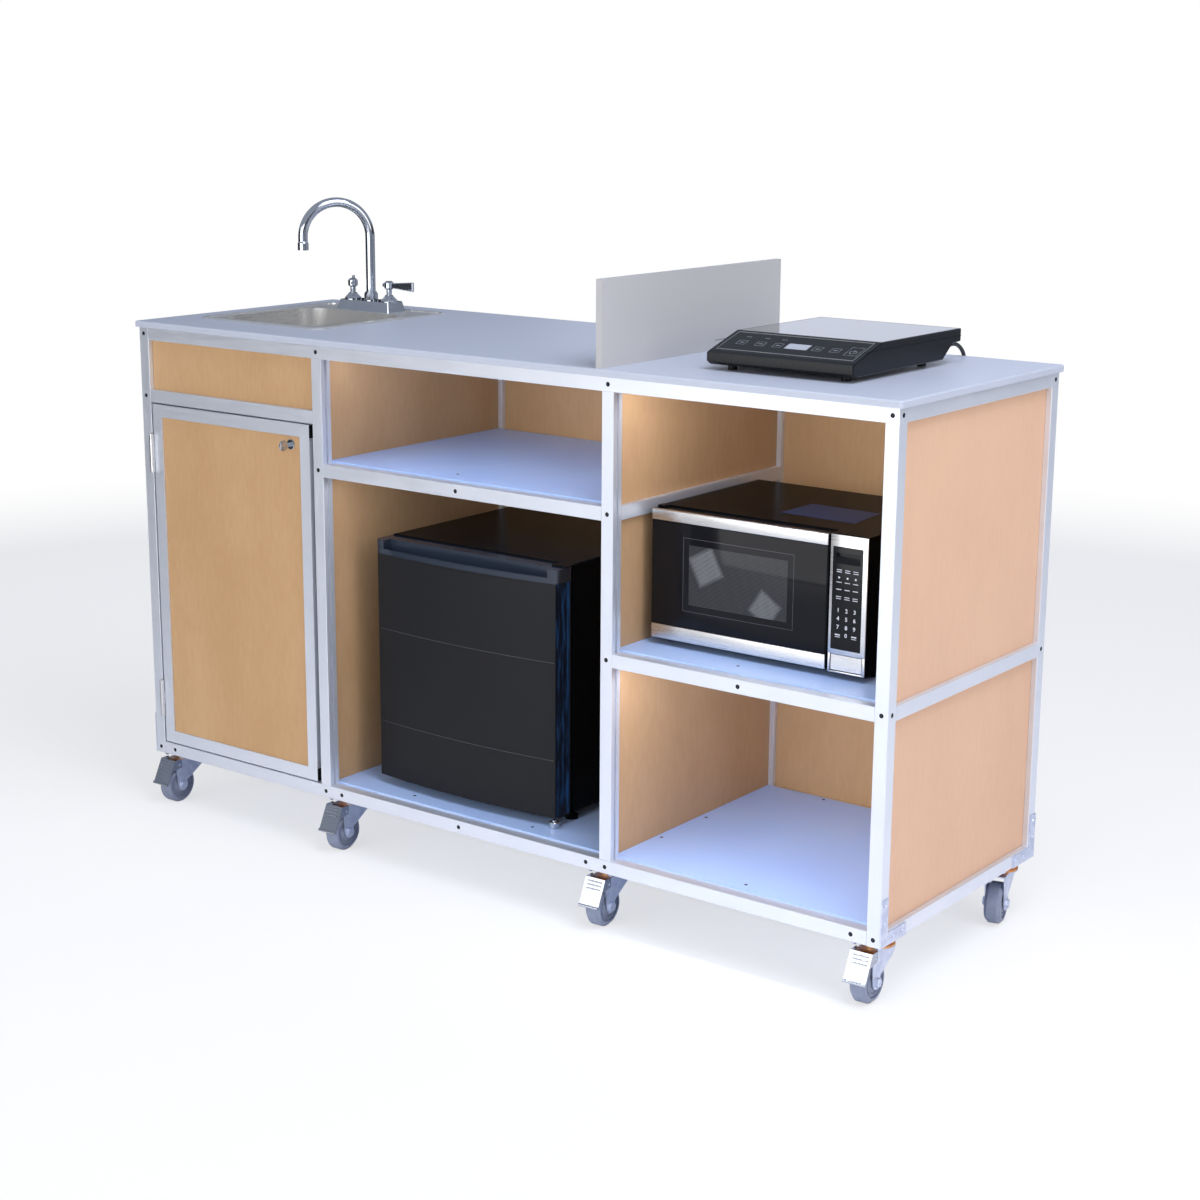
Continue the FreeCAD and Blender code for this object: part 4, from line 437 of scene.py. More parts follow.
def door_moulding():
    """The grip's plastic is smooth; the skin below it is grained; the inner face is white."""
    material, tree, shader = start_material("black_textured_door_skin", "#19191B")
    top = fridge_high.z
    grip = inside_box(tree, (-1.0, -1.0, top - GRIP_TALL), (1.0, 1.0, top + 0.1))
    liner = inside_box(tree, (-0.2860, -0.1800, 0.1660), (0.1255, -0.1500, 0.6040))
    skin = between(tree, grip, "#1B1B1D", "#252C38")
    grain = maths(tree, "MULTIPLY", noise(tree, 0.9, detail=3.0), spread(tree, grip, 1.0, 0.0, 0.0, 1.0))
    surface(shader, base_color=between(tree, liner, skin, LINER_WHITE),
            roughness=spread(tree, grip, 0.42, 0.14, 0.0, 1.0),
            specular_ior_level=spread(tree, grip, 0.18, 0.55, 0.0, 1.0),
            normal=bump(tree, grain, 0.03, 0.5))
    return material


DOOR_SKIN = door_moulding()


# %% Glass
def glass(name, colour, ripple_mm, depth_mm, **inputs):
    """Glass with faint waves; black glass has the colour of the ink behind it."""
    material, tree, shader = start_material(name, colour, **inputs)
    surface(shader, normal=bump(tree, noise(tree, ripple_mm, detail=1.0), depth_mm, 0.3))
    return material


OVEN_GLASS = glass("inked_oven_glass", "#0F1013", 60.0, 0.05, roughness=0.06, specular_ior_level=0.14)
CLEAR_GLASS = glass("pressed_clear_glass", "#DDE7E6", 12.0, 0.1, roughness=0.05, transmission_weight=0.9)
GLASS_CERAMIC = glass("polished_glass_ceramic", "#2A2D33", 80.0, 0.05, roughness=0.12,
                      coat_weight=0.7, coat_roughness=0.08, specular_ior_level=0.8)
print("materials", len(bpy.data.materials))

# %% [markdown]
# ## Dressing the construction
#
# Most pieces already have their true shape, so they only need their finish.

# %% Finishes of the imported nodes
FINISHES = {
    ALUMINIUM_UP: ["frame_posts"],
    ALUMINIUM_ACROSS: ["frame_rails", "door_frame"],
    ZINC: ["corner_plates"] + [f"caster_fork_{n}" for n in range(1, 9)],
    GOLD_ZINC: ["caster_plates"],
    CHROME: ["faucet_base", "faucet_spout", "hot_handle", "cold_handle", "lock_barrel", "lock_key"],
    PEDAL_STEEL: [f"brake_pedal_{n}" for n in range(1, 5)],
    GREY_RUBBER: [f"caster_wheel_{n}" for n in range(1, 9)],
    MAPLE_FRONT: ["fascia_panel", "door_panel"],
    MAPLE_END_PAINTED_LIGHTER: ["side_panels"],
    MAPLE_INSIDE_PAINTED_FILL: ["partition_panels", "back_panels"],
    PAINTED_SKY_BLUE_SHEET: ["base_deck", "upper_shelf", "lower_shelf"],
    WORKTOP: ["worktop"],
    DIVIDER: ["splash_divider"],
    STAINLESS_BOWL: ["sink_bowl"],
    STAINLESS: ["sink_drain", "hinge_frame_leaves", "hinge_door_leaves", "microwave_button"],
    BLACK_ABS: ["door_end_caps", "water_pump", "cooktop_case", "cooktop_plug"],
    BLACK_ENAMEL: ["microwave_door"],
    FRIDGE_CASE: ["fridge_cabinet"],
    OVEN_CASE: ["microwave_case"],
    DOOR_SKIN: ["fridge_door"],
    TANK: ["waste_water_tank", "fresh_water_tank"],
    CLEAR_GLASS: ["microwave_turntable"],
    GLASS_CERAMIC: ["cooktop_glass"],
    BLACK_PVC: ["cooktop_cord_coil", "cooktop_cord"],
}


def finish(data, material):
    """Leaves one material on a mesh or a curve."""
    data.materials.clear()
    data.materials.append(material)


for material, nodes in FINISHES.items():
    for node in nodes:
        finish(NODES[node].data, material)
print("finished nodes", sum(len(nodes) for nodes in FINISHES.values()), "of", len(NODES))

# %% [markdown]
# ## The cooktop's cord
#
# A cord is a fixed length of something that bends under its own weight. This one leaves the
# back of the cooktop, goes over the worktop's rear edge and hangs to the floor, where the rest
# of its length lies in a neat coil with the plug beside it. One NURBS spline follows the route.

# %% Cord, coil and plug lead
CORD_ROUTE = [
    (0.6800, 0.1704, 1.0225), (0.6800, 0.1980, 1.0225), (0.6780, 0.2360, 1.0255),
    (0.6740, 0.2700, 1.0120), (0.6685, 0.2930, 0.9930), (0.6660, 0.3000, 0.9550),
    (0.6640, 0.3030, 0.9000), (0.6600, 0.3020, 0.8050), (0.6550, 0.3055, 0.7030),
    (0.6530, 0.3030, 0.6010), (0.6480, 0.3060, 0.5000), (0.6460, 0.3040, 0.4000),
    (0.6410, 0.3070, 0.3030), (0.6390, 0.3060, 0.2080), (0.6370, 0.3120, 0.1280),
    (0.6360, 0.3250, 0.0760), (0.6340, 0.3450, 0.0390), (0.6280, 0.3680, 0.0130),
    (0.6050, 0.3860, 0.0036),
]
PLUG_ROUTE = [
    (0.5930, 0.3040, 0.0113), (0.6120, 0.3010, 0.0090),
    (0.6310, 0.2975, 0.0112), (0.6480, 0.2975, 0.0112),
]
CORD_DIAMETER = 0.0070
COIL_CENTRE = (0.5680, 0.3450)
COIL_RADII = (0.0410, 0.0375, 0.0330, 0.0320, 0.0380, 0.0410)
COIL_LEVELS = (0.0036, 0.0036, 0.0036, 0.0113, 0.0113, 0.0113)
COIL_STEPS = 7


def coil_points():
    """Points of the turns: each half turn goes from one radius and level to the next."""
    points = []
    ends = list(zip(COIL_RADII, COIL_LEVELS))
    widen = 1 / math.cos(math.pi / COIL_STEPS / 2)
    for turn, ((radius, level), (next_radius, next_level)) in enumerate(zip(ends, ends[1:])):
        for step in range(COIL_STEPS):
            share = (step + 0.5) / COIL_STEPS
            angle = math.pi / 2 + math.pi * (turn + share)
            reach = (radius + (next_radius - radius) * share) * widen
            points.append((COIL_CENTRE[0] + reach * math.cos(angle), COIL_CENTRE[1] + reach * math.sin(angle),
                           level + (next_level - level) * share))
    return points


def cord_curve(name, points, diameter):
    curve = bpy.data.curves.new(name, "CURVE")
    curve.dimensions = "3D"
    curve.bevel_depth = diameter / 2
    curve.bevel_resolution = 4
    curve.resolution_u = 8
    curve.use_fill_caps = True
    spline = curve.splines.new("NURBS")
    spline.points.add(len(points) - 1)
    for point, place in zip(spline.points, points):
        point.co = (*place, 1.0)
    spline.order_u = 3
    spline.use_endpoint_u = True
    return put(name, curve)


cord = cord_curve("mains_cord", CORD_ROUTE + coil_points() + PLUG_ROUTE, CORD_DIAMETER)
finish(cord.data, BLACK_PVC)
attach(cord, "kitchen")
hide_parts("cooktop_cord", "cooktop_cord_coil")
print("cord points", len(cord.data.splines[0].points))


# %% Pieces made of meshes
def keep_mesh(name, mesh, body="kitchen", smooth_angle=0):
    """Turns a mesh into a finished piece that rides on a body."""
    piece = put(name, mesh)
    if smooth_angle:
        mesh.shade_smooth()
        mesh.set_sharp_from_angle(angle=math.radians(smooth_angle))
    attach(piece, body)
    print(name, len(mesh.polygons), "faces")


def built_piece(name, build, material, body="kitchen", smooth_angle=30.0):
    """Runs a bmesh builder, mends its normals and keeps the mesh."""
    work = bmesh.new()
    build(work)
    bmesh.ops.remove_doubles(work, verts=work.verts, dist=1e-6)
    bmesh.ops.recalc_face_normals(work, faces=work.faces)
    mesh = bpy.data.meshes.new(name)
    work.to_mesh(mesh)
    work.free()
    finish(mesh, material)
    keep_mesh(name, mesh, body, smooth_angle)


def add_walls(work, low, high, closed=True):
    """Adds the faces between two rows of vertices."""
    if closed:
        low, high = low + low[:1], high + high[:1]
    for corners in zip(low, low[1:], high[1:], high):
        work.faces.new(corners)


def add_prism(work, low, high):
    """Adds a solid between two outlines."""
    low, high = ([work.verts.new(point) for point in outline] for outline in (low, high))
    work.faces.new(high)
    work.faces.new(low[::-1])
    add_walls(work, low, high)


def add_block(work, low, high, edge, segments):
    """Adds a block between two corners, with rounded edges."""
    made = bmesh.ops.create_cube(work, size=1.0)["verts"]
    for vertex in made:
        vertex.co = Vector((low[i] + (vertex.co[i] + 0.5) * (high[i] - low[i]) for i in range(3)))
    if edge:
        edges = list({e for vertex in made for e in vertex.link_edges})
        bmesh.ops.bevel(work, geom=edges, offset=edge, segments=segments, profile=0.5, affect="EDGES")


def blocks_piece(name, blocks, edge, material, body="kitchen", segments=2):
    """A piece of blocks, each given by two corners."""
    def build(work):
        for low, high in blocks:
            add_block(work, low, high, edge, segments)
    built_piece(name, build, material, body)


def turned_piece(name, profile, centre, axis, material, segments):
    """Turns an open profile of (radius, height) points about an axis through centre."""
    turn = Vector(axis).to_track_quat("Z", "Y").to_matrix().to_4x4()

    def build(work):
        rings = []
        for step in range(segments):
            angle = 2 * math.pi * step / segments
            rings.append([work.verts.new((r * math.cos(angle), r * math.sin(angle), h)) for r, h in profile])
        for ring, after in zip(rings, rings[1:] + rings[:1]):
            add_walls(work, ring, after, closed=False)
        bmesh.ops.transform(work, matrix=Matrix.Translation(Vector(centre)) @ turn, verts=work.verts)
    built_piece(name, build, material, smooth_angle=35.0)


# %% [markdown]
# ## Screws that repeat
#
# The frame is held by small black screws wherever a rail meets a post. They are all one shape,
# so a Geometry Nodes tree sets a screw on each point and turns it to the face it sits in. The
# tree ends in Realize Instances and Set Material, once for the heads and once for their sockets,
# and its result is kept as a plain mesh.

# %% A tree that sets a screw on each point
HEAD_TOP, SOCKET_WIDE, SOCKET_LIP = 0.62, 0.42, 1.04


def screw_tree(material, socket_shade_material):
    """The head is a cone; a dark hexagon in it stands for the socket: painted shade in place of the recess."""
    tree = bpy.data.node_groups.new("screws_on_points", "GeometryNodeTree")
    for name, way, kind in (("Geometry", "INPUT", "Geometry"), ("Head Radius", "INPUT", "Float"),
                            ("Head Height", "INPUT", "Float"), ("Sides", "INPUT", "Int"),
                            ("Geometry", "OUTPUT", "Geometry")):
        tree.interface.new_socket(name, in_out=way, socket_type="NodeSocket" + kind)
    given = add(tree, "NodeGroupInput").outputs
    hole = maths(tree, "MULTIPLY", given["Head Radius"], SOCKET_WIDE)
    cones = (
        (material, {"Vertices": given["Sides"], "Radius Bottom": given["Head Radius"],
                    "Radius Top": maths(tree, "MULTIPLY", given["Head Radius"], HEAD_TOP),
                    "Depth": given["Head Height"]}),
        (socket_shade_material, {"Vertices": 6, "Radius Bottom": hole, "Radius Top": hole,
                           "Depth": maths(tree, "MULTIPLY", given["Head Height"], SOCKET_LIP)}),
    )
    facing = add(tree, "GeometryNodeInputNamedAttribute", {"Name": "facing"}, data_type="FLOAT_VECTOR")
    turn = add(tree, "FunctionNodeAlignRotationToVector", {"Vector": facing.outputs["Attribute"]}, axis="Z")
    whole = add(tree, "GeometryNodeJoinGeometry")
    for cone_material, sizes in cones:
        cone = add(tree, "GeometryNodeMeshCone", sizes).outputs["Mesh"]
        placed = add(tree, "GeometryNodeInstanceOnPoints", {"Points": given["Geometry"], "Instance": cone,
                                                            "Rotation": turn.outputs[0]})
        real = add(tree, "GeometryNodeRealizeInstances", {"Geometry": placed.outputs[0]})
        painted = add(tree, "GeometryNodeSetMaterial", {"Geometry": real.outputs[0], "Material": cone_material})
        feed(whole, {0: painted.outputs[0]})
    add(tree, "NodeGroupOutput", {"Geometry": whole.outputs[0]})
    return tree


def screws(name, places, radius_mm, height_mm, sides, material, socket_shade_material):
    """places are (point, facing) pairs in metres."""
    points = bpy.data.meshes.new(name + "_points")
    points.from_pydata([place for place, _ in places], [], [])
    facing = points.attributes.new("facing", "FLOAT_VECTOR", "POINT")
    for item, (_, way) in zip(facing.data, places):
        item.vector = way
    holder = put(name + "_points", points)
    modifier = holder.modifiers.new("screws", "NODES")
    modifier.node_group = screw_tree(material, socket_shade_material)
    wanted = {"Head Radius": radius_mm * MM, "Head Height": height_mm * MM, "Sides": sides}
    for socket in modifier.node_group.interface.items_tree:
        if socket.name in wanted:
            modifier[socket.identifier] = wanted[socket.name]
    evaluated = holder.evaluated_get(bpy.context.evaluated_depsgraph_get())
    mesh = bpy.data.meshes.new_from_object(evaluated)
    mesh.name = name
    bpy.data.objects.remove(holder)
    print(len(places), "screws:")
    keep_mesh(name, mesh, smooth_angle=25.0)


# %% Lines of the frame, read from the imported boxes
posts_low, posts_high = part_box("frame_posts")
deck_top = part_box("base_deck")[1].z
shelf_low, shelf_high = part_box("upper_shelf")
oven_shelf_low, oven_shelf_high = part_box("lower_shelf")
PROFILE = 0.025
HALF = PROFILE / 2
SHELF_TO_LINE = 0.0023
FASCIA_IN_SLOT = 0.005
FRONT, BACK = posts_low.y, posts_high.y
LEFT, RIGHT = posts_low.x, posts_high.x
POST_X = (LEFT + HALF, shelf_low.x - SHELF_TO_LINE, shelf_high.x + SHELF_TO_LINE, RIGHT - HALF)
BASE_RAIL = posts_low.z + HALF
TOP_RAIL = posts_high.z - HALF
SHELF_RAIL = shelf_low.z - HALF
OVEN_RAIL = oven_shelf_low.z - HALF
FASCIA_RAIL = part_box("fascia_panel")[0].z + FASCIA_IN_SLOT - HALF
CASTER_PITCH = 0.042
CASTER_BARS = [x + way * CASTER_PITCH for x, way in zip(POST_X, (1, 1, -1, -1))]
MIDDLE_BAR = (POST_X[1] + POST_X[2]) / 2
OVEN_BAR = (POST_X[2] + POST_X[3]) / 2
print("rails at", [round(z, 4) for z in (BASE_RAIL, OVEN_RAIL, SHELF_RAIL, FASCIA_RAIL, TOP_RAIL)])


# %% Frame screws
def frame_screw_places():
    """The screws seen in the faces of the frame: front, back and both ends."""
    places = []
    for y, way in ((FRONT, (0, -1, 0)), (BACK, (0, 1, 0))):
        spots = [(x, z) for x in POST_X for z in (BASE_RAIL, TOP_RAIL)]
        spots += [(x, SHELF_RAIL) for x in POST_X[1:3]]
        spots += [(x, OVEN_RAIL) for x in POST_X[2:]]
        spots += [(x, BASE_RAIL) for x in (*CASTER_BARS, MIDDLE_BAR)]
        spots += [(MIDDLE_BAR, SHELF_RAIL), (OVEN_BAR, OVEN_RAIL)]
        if y == FRONT:
            spots.append((POST_X[0], FASCIA_RAIL))
        places += [((x, y, z), way) for x, z in spots]
    for x, way in ((LEFT, (-1, 0, 0)), (RIGHT, (1, 0, 0))):
        for y in (FRONT + HALF, BACK - HALF):
            places += [((x, y, z), way) for z in (OVEN_RAIL, TOP_RAIL)]
    return places


screws("frame_screws", frame_screw_places(), 4.0, 0.7, 24, DARK_STEEL, BLACK_RUBBER)

# %% Screws that hold the decks, and the caster bolts
DECK_SPOTS = [(0.670, 0.052), (0.959, 0.052), (1.180, 0.293), (1.178, 0.153), (1.430, 0.048), (1.299, 0.516)]
spots = [(x, y, deck_top) for x, y in DECK_SPOTS]
spots += [(0.773, 0.067, shelf_high.z), (1.395, 0.062, oven_shelf_high.z)]
deck_places = [((LEFT + x, FRONT + y, z), (0, 0, 1)) for x, y, z in spots]
screws("deck_screws", deck_places, 3.2, 0.5, 20, DARK_STEEL, BLACK_RUBBER)

plates_low, plates_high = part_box("caster_plates")
PLATE_HALF, PLATE_THICK = 0.046, 0.003
BOLT_X, BOLT_Y, BOLT_DROP = 0.022, 0.038, 0.002
BOLT_LEVEL = plates_high.z - PLATE_THICK - BOLT_DROP
CASTER_X = [(line + bar) / 2 for line, bar in zip(POST_X, CASTER_BARS)]
CASTER_Y = (plates_low.y + PLATE_HALF, plates_high.y - PLATE_HALF)
bolt_places = [((x + side * BOLT_X, y + end * BOLT_Y, BOLT_LEVEL), (0, 0, -1))
               for x in CASTER_X for y in CASTER_Y for side in (-1, 1) for end in (-1, 1)]
screws("caster_bolts", bolt_places, 5.2, 4.0, 6, ZINC, DARK_STEEL)

# %% [markdown]
# ## The microwave's face
#
# The door is black glass between two brushed stainless bands; the panel beside it is a
# stainless plate with a black keypad and a wide release button below it.

# %% Door bands
door_low, door_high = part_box("microwave_door")
case_low, case_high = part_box("microwave_case")
button_low, button_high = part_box("microwave_button")
BAND_PROUD, BAND_DEEP, BAND_OVER = 0.0014, 0.006, 0.0002
TOP_BAND, BOTTOM_BAND = 0.019, 0.025
bands = (("microwave_top_band", door_high.z - TOP_BAND, door_high.z + BAND_OVER),
         ("microwave_bottom_band", door_low.z - BAND_OVER, door_low.z + BOTTOM_BAND))
for name, z0, z1 in bands:
    block = ((door_low.x + 0.0004, door_low.y - BAND_PROUD, z0), (door_high.x - 0.0015, door_low.y + BAND_DEEP, z1))
    blocks_piece(name, [block], 0.0016, STAINLESS, "microwave_door", segments=4)

# %% Door glass with its window
WINDOW_LEFT = door_low.x + 0.0664
WINDOW_WIDTH = 0.2230
WINDOW_TOP = door_high.z - TOP_BAND - 0.0245
WINDOW_HEIGHT = 0.1290
WINDOW_LINE = 0.0007
SCREEN_MARGIN, SCREEN_PITCH = 0.012, 0.0022
# Two patches of painted reflection on the window's screen, a lighter grey in the base colour.
PAINTED_REFLECTION_PATCHES = [
    # share across, share down, half its side (m), turn (degrees)
    (0.21, 0.36, 0.030, 28.0),
    (0.75, 0.78, 0.026, -34.0),
]


def window_glass():
    """Black glass; behind its window a perforated screen, with two square patches of painted reflection on it."""
    material, tree, shader = start_material("oven_window_glass_painted_reflections", "#101114", roughness=0.08,
                                            specular_ior_level=0.14)
    place = object_place(tree)

    def within(margin):
        return inside_box(tree, (WINDOW_LEFT + margin, -1.0, WINDOW_TOP - WINDOW_HEIGHT + margin),
                          (WINDOW_LEFT + WINDOW_WIDTH - margin, 1.0, WINDOW_TOP - margin))

    dots = add(tree, "ShaderNodeTexVoronoi", {"Vector": place, "Scale": 1 / SCREEN_PITCH, "Randomness": 0.0})
    metal = spread(tree, dots.outputs["Distance"], 0.0, 1.0, 0.30, 0.42)
    screen = maths(tree, "MULTIPLY", metal, within(SCREEN_MARGIN))
    patches = []
    for across, down, half, turn in PAINTED_REFLECTION_PATCHES:
        spot = (WINDOW_LEFT + WINDOW_WIDTH * across, door_low.y, WINDOW_TOP - WINDOW_HEIGHT * down)
        turned = add(tree, "ShaderNodeVectorRotate", {"Vector": place, "Center": spot, "Angle": math.radians(turn)},
                     rotation_type="Y_AXIS")
        away = vector_maths(tree, "ABSOLUTE", vector_maths(tree, "SUBTRACT", turned.outputs["Vector"], spot))
        x, _, z = axes(tree, away)
        patches.append(spread(tree, maths(tree, "MAXIMUM", x, z), 0.85, 0.2, half * 0.72, half))
    lit = maths(tree, "MULTIPLY", screen, maths(tree, "MAXIMUM", *patches))
    line = maths(tree, "SUBTRACT", within(0.0), within(WINDOW_LINE))
    # The lighter grey on the screen is painted reflection, not a lamp.
    surface(shader, base_color=between(tree, line, between(tree, lit, "#17171A", "#88898B"), "#55575C"))
    return material


GAP = 0.0006
door_glass = ((door_low.x + 0.0006, door_low.y - 0.0007, door_low.z + BOTTOM_BAND + GAP),
              (door_high.x - 0.0025, door_low.y + 0.0045, door_high.z - TOP_BAND - GAP))
blocks_piece("microwave_door_glass", [door_glass], 0.0004, window_glass(), "microwave_door")

# %% Control panel plate and keypad
PANEL_LEFT, PANEL_RIGHT = door_high.x + 0.0040, case_high.x - 0.0010
PANEL_LOW, PANEL_HIGH = button_low.z - 0.0038, case_high.z - 0.0012
PLATE, PLATE_DEEP = 0.0016, 0.004
SLACK, OVERLAP = 0.0009, 0.003
around_button = (button_low.z - OVERLAP, button_high.z + OVERLAP)
plates = (
    (PANEL_LEFT, PANEL_RIGHT, button_high.z + SLACK, PANEL_HIGH),
    (PANEL_LEFT, PANEL_RIGHT, PANEL_LOW, button_low.z - SLACK),
    (PANEL_LEFT, button_low.x - SLACK, *around_button),
    (button_high.x + SLACK, PANEL_RIGHT, *around_button),
)
plate_blocks = [((x0, case_low.y - PLATE, z0), (x1, case_low.y + PLATE_DEEP, z1)) for x0, x1, z0, z1 in plates]
blocks_piece("microwave_panel_plate", plate_blocks, 0.0006, STAINLESS)

KEYPAD_LEFT, KEYPAD_RIGHT = PANEL_LEFT + 0.0050, PANEL_RIGHT - 0.0085
KEYPAD_LOW, KEYPAD_HIGH = button_high.z + 0.0095, PANEL_HIGH - 0.0195
KEYPAD_WIDE, KEYPAD_TALL = KEYPAD_RIGHT - KEYPAD_LEFT, KEYPAD_HIGH - KEYPAD_LOW
KEYPAD_FACE = case_low.y - PLATE - 0.0005
keypad = ((KEYPAD_LEFT, KEYPAD_FACE, KEYPAD_LOW), (KEYPAD_RIGHT, case_low.y, KEYPAD_HIGH))
blocks_piece("microwave_keypad", [keypad], 0.0004, BLACK_ABS, segments=3)

# %% Digits of the keypad
KEY_COLUMNS = [KEYPAD_LEFT + KEYPAD_WIDE * share for share in (0.23, 0.51, 0.78)]
DIGIT_ROWS = [KEYPAD_HIGH - KEYPAD_TALL * share for share in (0.615, 0.697, 0.78, 0.855)]
DIGITS = "123456789 0"
DIGIT_SIZE, DIGIT_PROUD, DIGIT_BOLD = 0.0094, 0.00012, 0.00022
UPRIGHT = Matrix(((1, 0, 0), (0, 0, -1), (0, 1, 0))).to_4x4()


def raised_digit(digit, x, z):
    """Raised print: a text curve turned to a mesh, its place applied to the mesh."""
    name = f"keypad_digit_{digit}"
    curve = bpy.data.curves.new(name, "FONT")
    curve.body = digit
    curve.size = DIGIT_SIZE
    curve.align_x = curve.align_y = "CENTER"
    curve.extrude = DIGIT_PROUD
    curve.offset = DIGIT_BOLD
    curve.resolution_u = 3
    holder = put(name, curve)
    mesh = bpy.data.meshes.new_from_object(holder.evaluated_get(bpy.context.evaluated_depsgraph_get()))
    bpy.data.objects.remove(holder)
    mesh.transform(Matrix.Translation(Vector((x, KEYPAD_FACE - 0.0001, z))) @ UPRIGHT)
    finish(mesh, PRINT)
    keep_mesh(name, mesh)


for index, digit in enumerate(DIGITS):
    if digit != " ":
        raised_digit(digit, KEY_COLUMNS[index % 3], DIGIT_ROWS[index // 3])

# %% Bars and display of the keypad
BAR_ROWS = [
    # share down, height (m)
    (0.225, 0.0011), (0.245, 0.0011), (0.305, 0.0030), (0.345, 0.0011), (0.415, 0.0013), (0.485, 0.0011),
    (0.505, 0.0011),
]
BAR_HALF, DOT_HALF, BAR_PROUD = KEYPAD_WIDE * 0.17 / 2, 0.0016, 0.0002
DISPLAY_SHARE, DISPLAY_SIDE, DISPLAY_HALF, DISPLAY_PROUD = 0.11, 0.005, 0.009, 0.0003


def key_bars():
    """Plain bars where function keys are marked, with dots in the tallest row."""
    bars = []
    for share, height in BAR_ROWS:
        z = KEYPAD_HIGH - KEYPAD_TALL * share
        half = BAR_HALF if height < 0.002 else DOT_HALF
        bars += [(x, half, z, z + height) for x in KEY_COLUMNS]
    z = DIGIT_ROWS[3]
    for x in (KEY_COLUMNS[0], KEY_COLUMNS[2]):
        bars += [(x, BAR_HALF, z - 0.001, z + 0.0012), (x, BAR_HALF, z - 0.004, z - 0.003)]
    return [((x - half, KEYPAD_FACE - BAR_PROUD, z0), (x + half, KEYPAD_FACE + BAR_PROUD, z1))
            for x, half, z0, z1 in bars]


blocks_piece("keypad_marks", key_bars(), 0.0, PRINT)
display_z = KEYPAD_HIGH - KEYPAD_TALL * DISPLAY_SHARE
display = ((KEYPAD_LEFT + DISPLAY_SIDE, KEYPAD_FACE - DISPLAY_PROUD, display_z - DISPLAY_HALF),
           (KEYPAD_RIGHT - DISPLAY_SIDE, KEYPAD_FACE + DISPLAY_PROUD, display_z + DISPLAY_HALF))
blocks_piece("keypad_display", [display], 0.0002, OVEN_GLASS, segments=3)

# %% Film patch on the oven's roof, and its side vents
FILM_CORNERS = ((0.5325, -0.0901), (0.6814, -0.0930), (0.6722, 0.0086), (0.5344, 0.0115))
FILM_LEVELS = (case_high.z - 0.0001, case_high.z + 0.0003)
VENT_ROWS, VENT_STEP, VENT_TALL, VENT_LONG = 12, 0.0055, 0.0022, 0.030
VENT_LOW, VENT_SUNK, VENT_THICK = 0.600, 0.0003, 0.0006


def build_roof_film(work):
    add_prism(work, *([(x, y, level) for x, y in FILM_CORNERS] for level in FILM_LEVELS))


built_piece("microwave_roof_film", build_roof_film, PATCH_FILM, smooth_angle=0)
# The side vents are black strips of painted shade that stand for the slots.
vents = [((x - VENT_SUNK, y, z), (x - VENT_SUNK + VENT_THICK, y + VENT_LONG, z + VENT_TALL))
         for x in (case_low.x, case_high.x) for y in (0.045, 0.085)
         for z in (VENT_LOW + row * VENT_STEP for row in range(VENT_ROWS))]
blocks_piece("microwave_side_vents", vents, 0.0, PAINTED_SHADOW_GAP)

# %% [markdown]
# ## The cooktop's control panel
#
# The panel slopes, so its marks are placed in the slope's own two directions: across, and up
# the slope. Touch keys are only outlines in the film, and a grey display sits between them.

# %% The slope and the plates on it
cook_low, cook_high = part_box("cooktop_case")
COOK_WIDE, COOK_DEEP = cook_high.x - cook_low.x, cook_high.y - cook_low.y
COOK_FEET = 0.009
COOK_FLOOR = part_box("worktop")[1].z + COOK_FEET
COOK_TALL = cook_high.z - COOK_FLOOR
# Shares of the case's depth and height where the slope begins and ends.
FOOT_BACK, FOOT_UP, HEAD_BACK = 0.02, 0.48, 0.25
SLOPE_FOOT = Vector((cook_low.x, cook_low.y + FOOT_BACK * COOK_DEEP, COOK_FLOOR + FOOT_UP * COOK_TALL))
SLOPE_HEAD = Vector((cook_low.x, cook_low.y + HEAD_BACK * COOK_DEEP, cook_high.z))
SLOPE = (SLOPE_HEAD - SLOPE_FOOT).normalized()
SLOPE_LONG = (SLOPE_HEAD - SLOPE_FOOT).length
ACROSS = Vector((1, 0, 0))
OUT = ACROSS.cross(SLOPE).normalized()
MARK_SUNK = -0.0004
print("slope", round(SLOPE_LONG, 4), "m")


def on_slope(across, up, out):
    return SLOPE_FOOT + ACROSS * across + SLOPE * up + OUT * out


def rim(x0, x1, y0, y1, line):
    """The four strips along the edges of a rectangle."""
    return [(x0, x1, y0, y0 + line), (x0, x1, y1 - line, y1),
            (x0, x0 + line, y0 + line, y1 - line), (x1 - line, x1, y0 + line, y1 - line)]


def around(across, up, half_wide, half_tall):
    """The sides of a rectangle about a point."""
    return across - half_wide, across + half_wide, up - half_tall, up + half_tall


def slope_piece(name, rectangles, thick, material, extra=None):
    """Thin plates on the slope, and what an extra builder adds to them."""
    def build(work):
        if extra:
            extra(work)
        for x0, x1, y0, y1 in rectangles:
            corners = ((x0, y0), (x1, y0), (x1, y1), (x0, y1))
            add_prism(work, *([on_slope(*corner, out) for corner in corners] for out in (MARK_SUNK, thick)))
    built_piece(name, build, material, smooth_angle=0)


# %% Marks on the sloping panel
KEY_HALVES, DASH_HALVES, KEY_LINE = (0.0085, 0.008), (0.004, 0.0012), 0.0007
KEY_CENTRES = [COOK_WIDE * share for share in (0.145, 0.275, 0.395, 0.665, 0.785)]
KEY_LEVEL = SLOPE_LONG * 0.46
BAR_OVER_KEY, BAR_LEVELS = 0.005, (SLOPE_LONG * 0.72, SLOPE_LONG * 0.735)
POWER, POWER_LEVEL = COOK_WIDE * 0.905, SLOPE_LONG * 0.44
POWER_RISE, POWER_HALVES = 0.002, (0.012, 0.016)
BORDER_IN, BORDER_LINE = 0.010, 0.0011
PRINT_THICK, MARK_THICK, DISPLAY_THICK = 0.0003, 0.0004, 0.0005

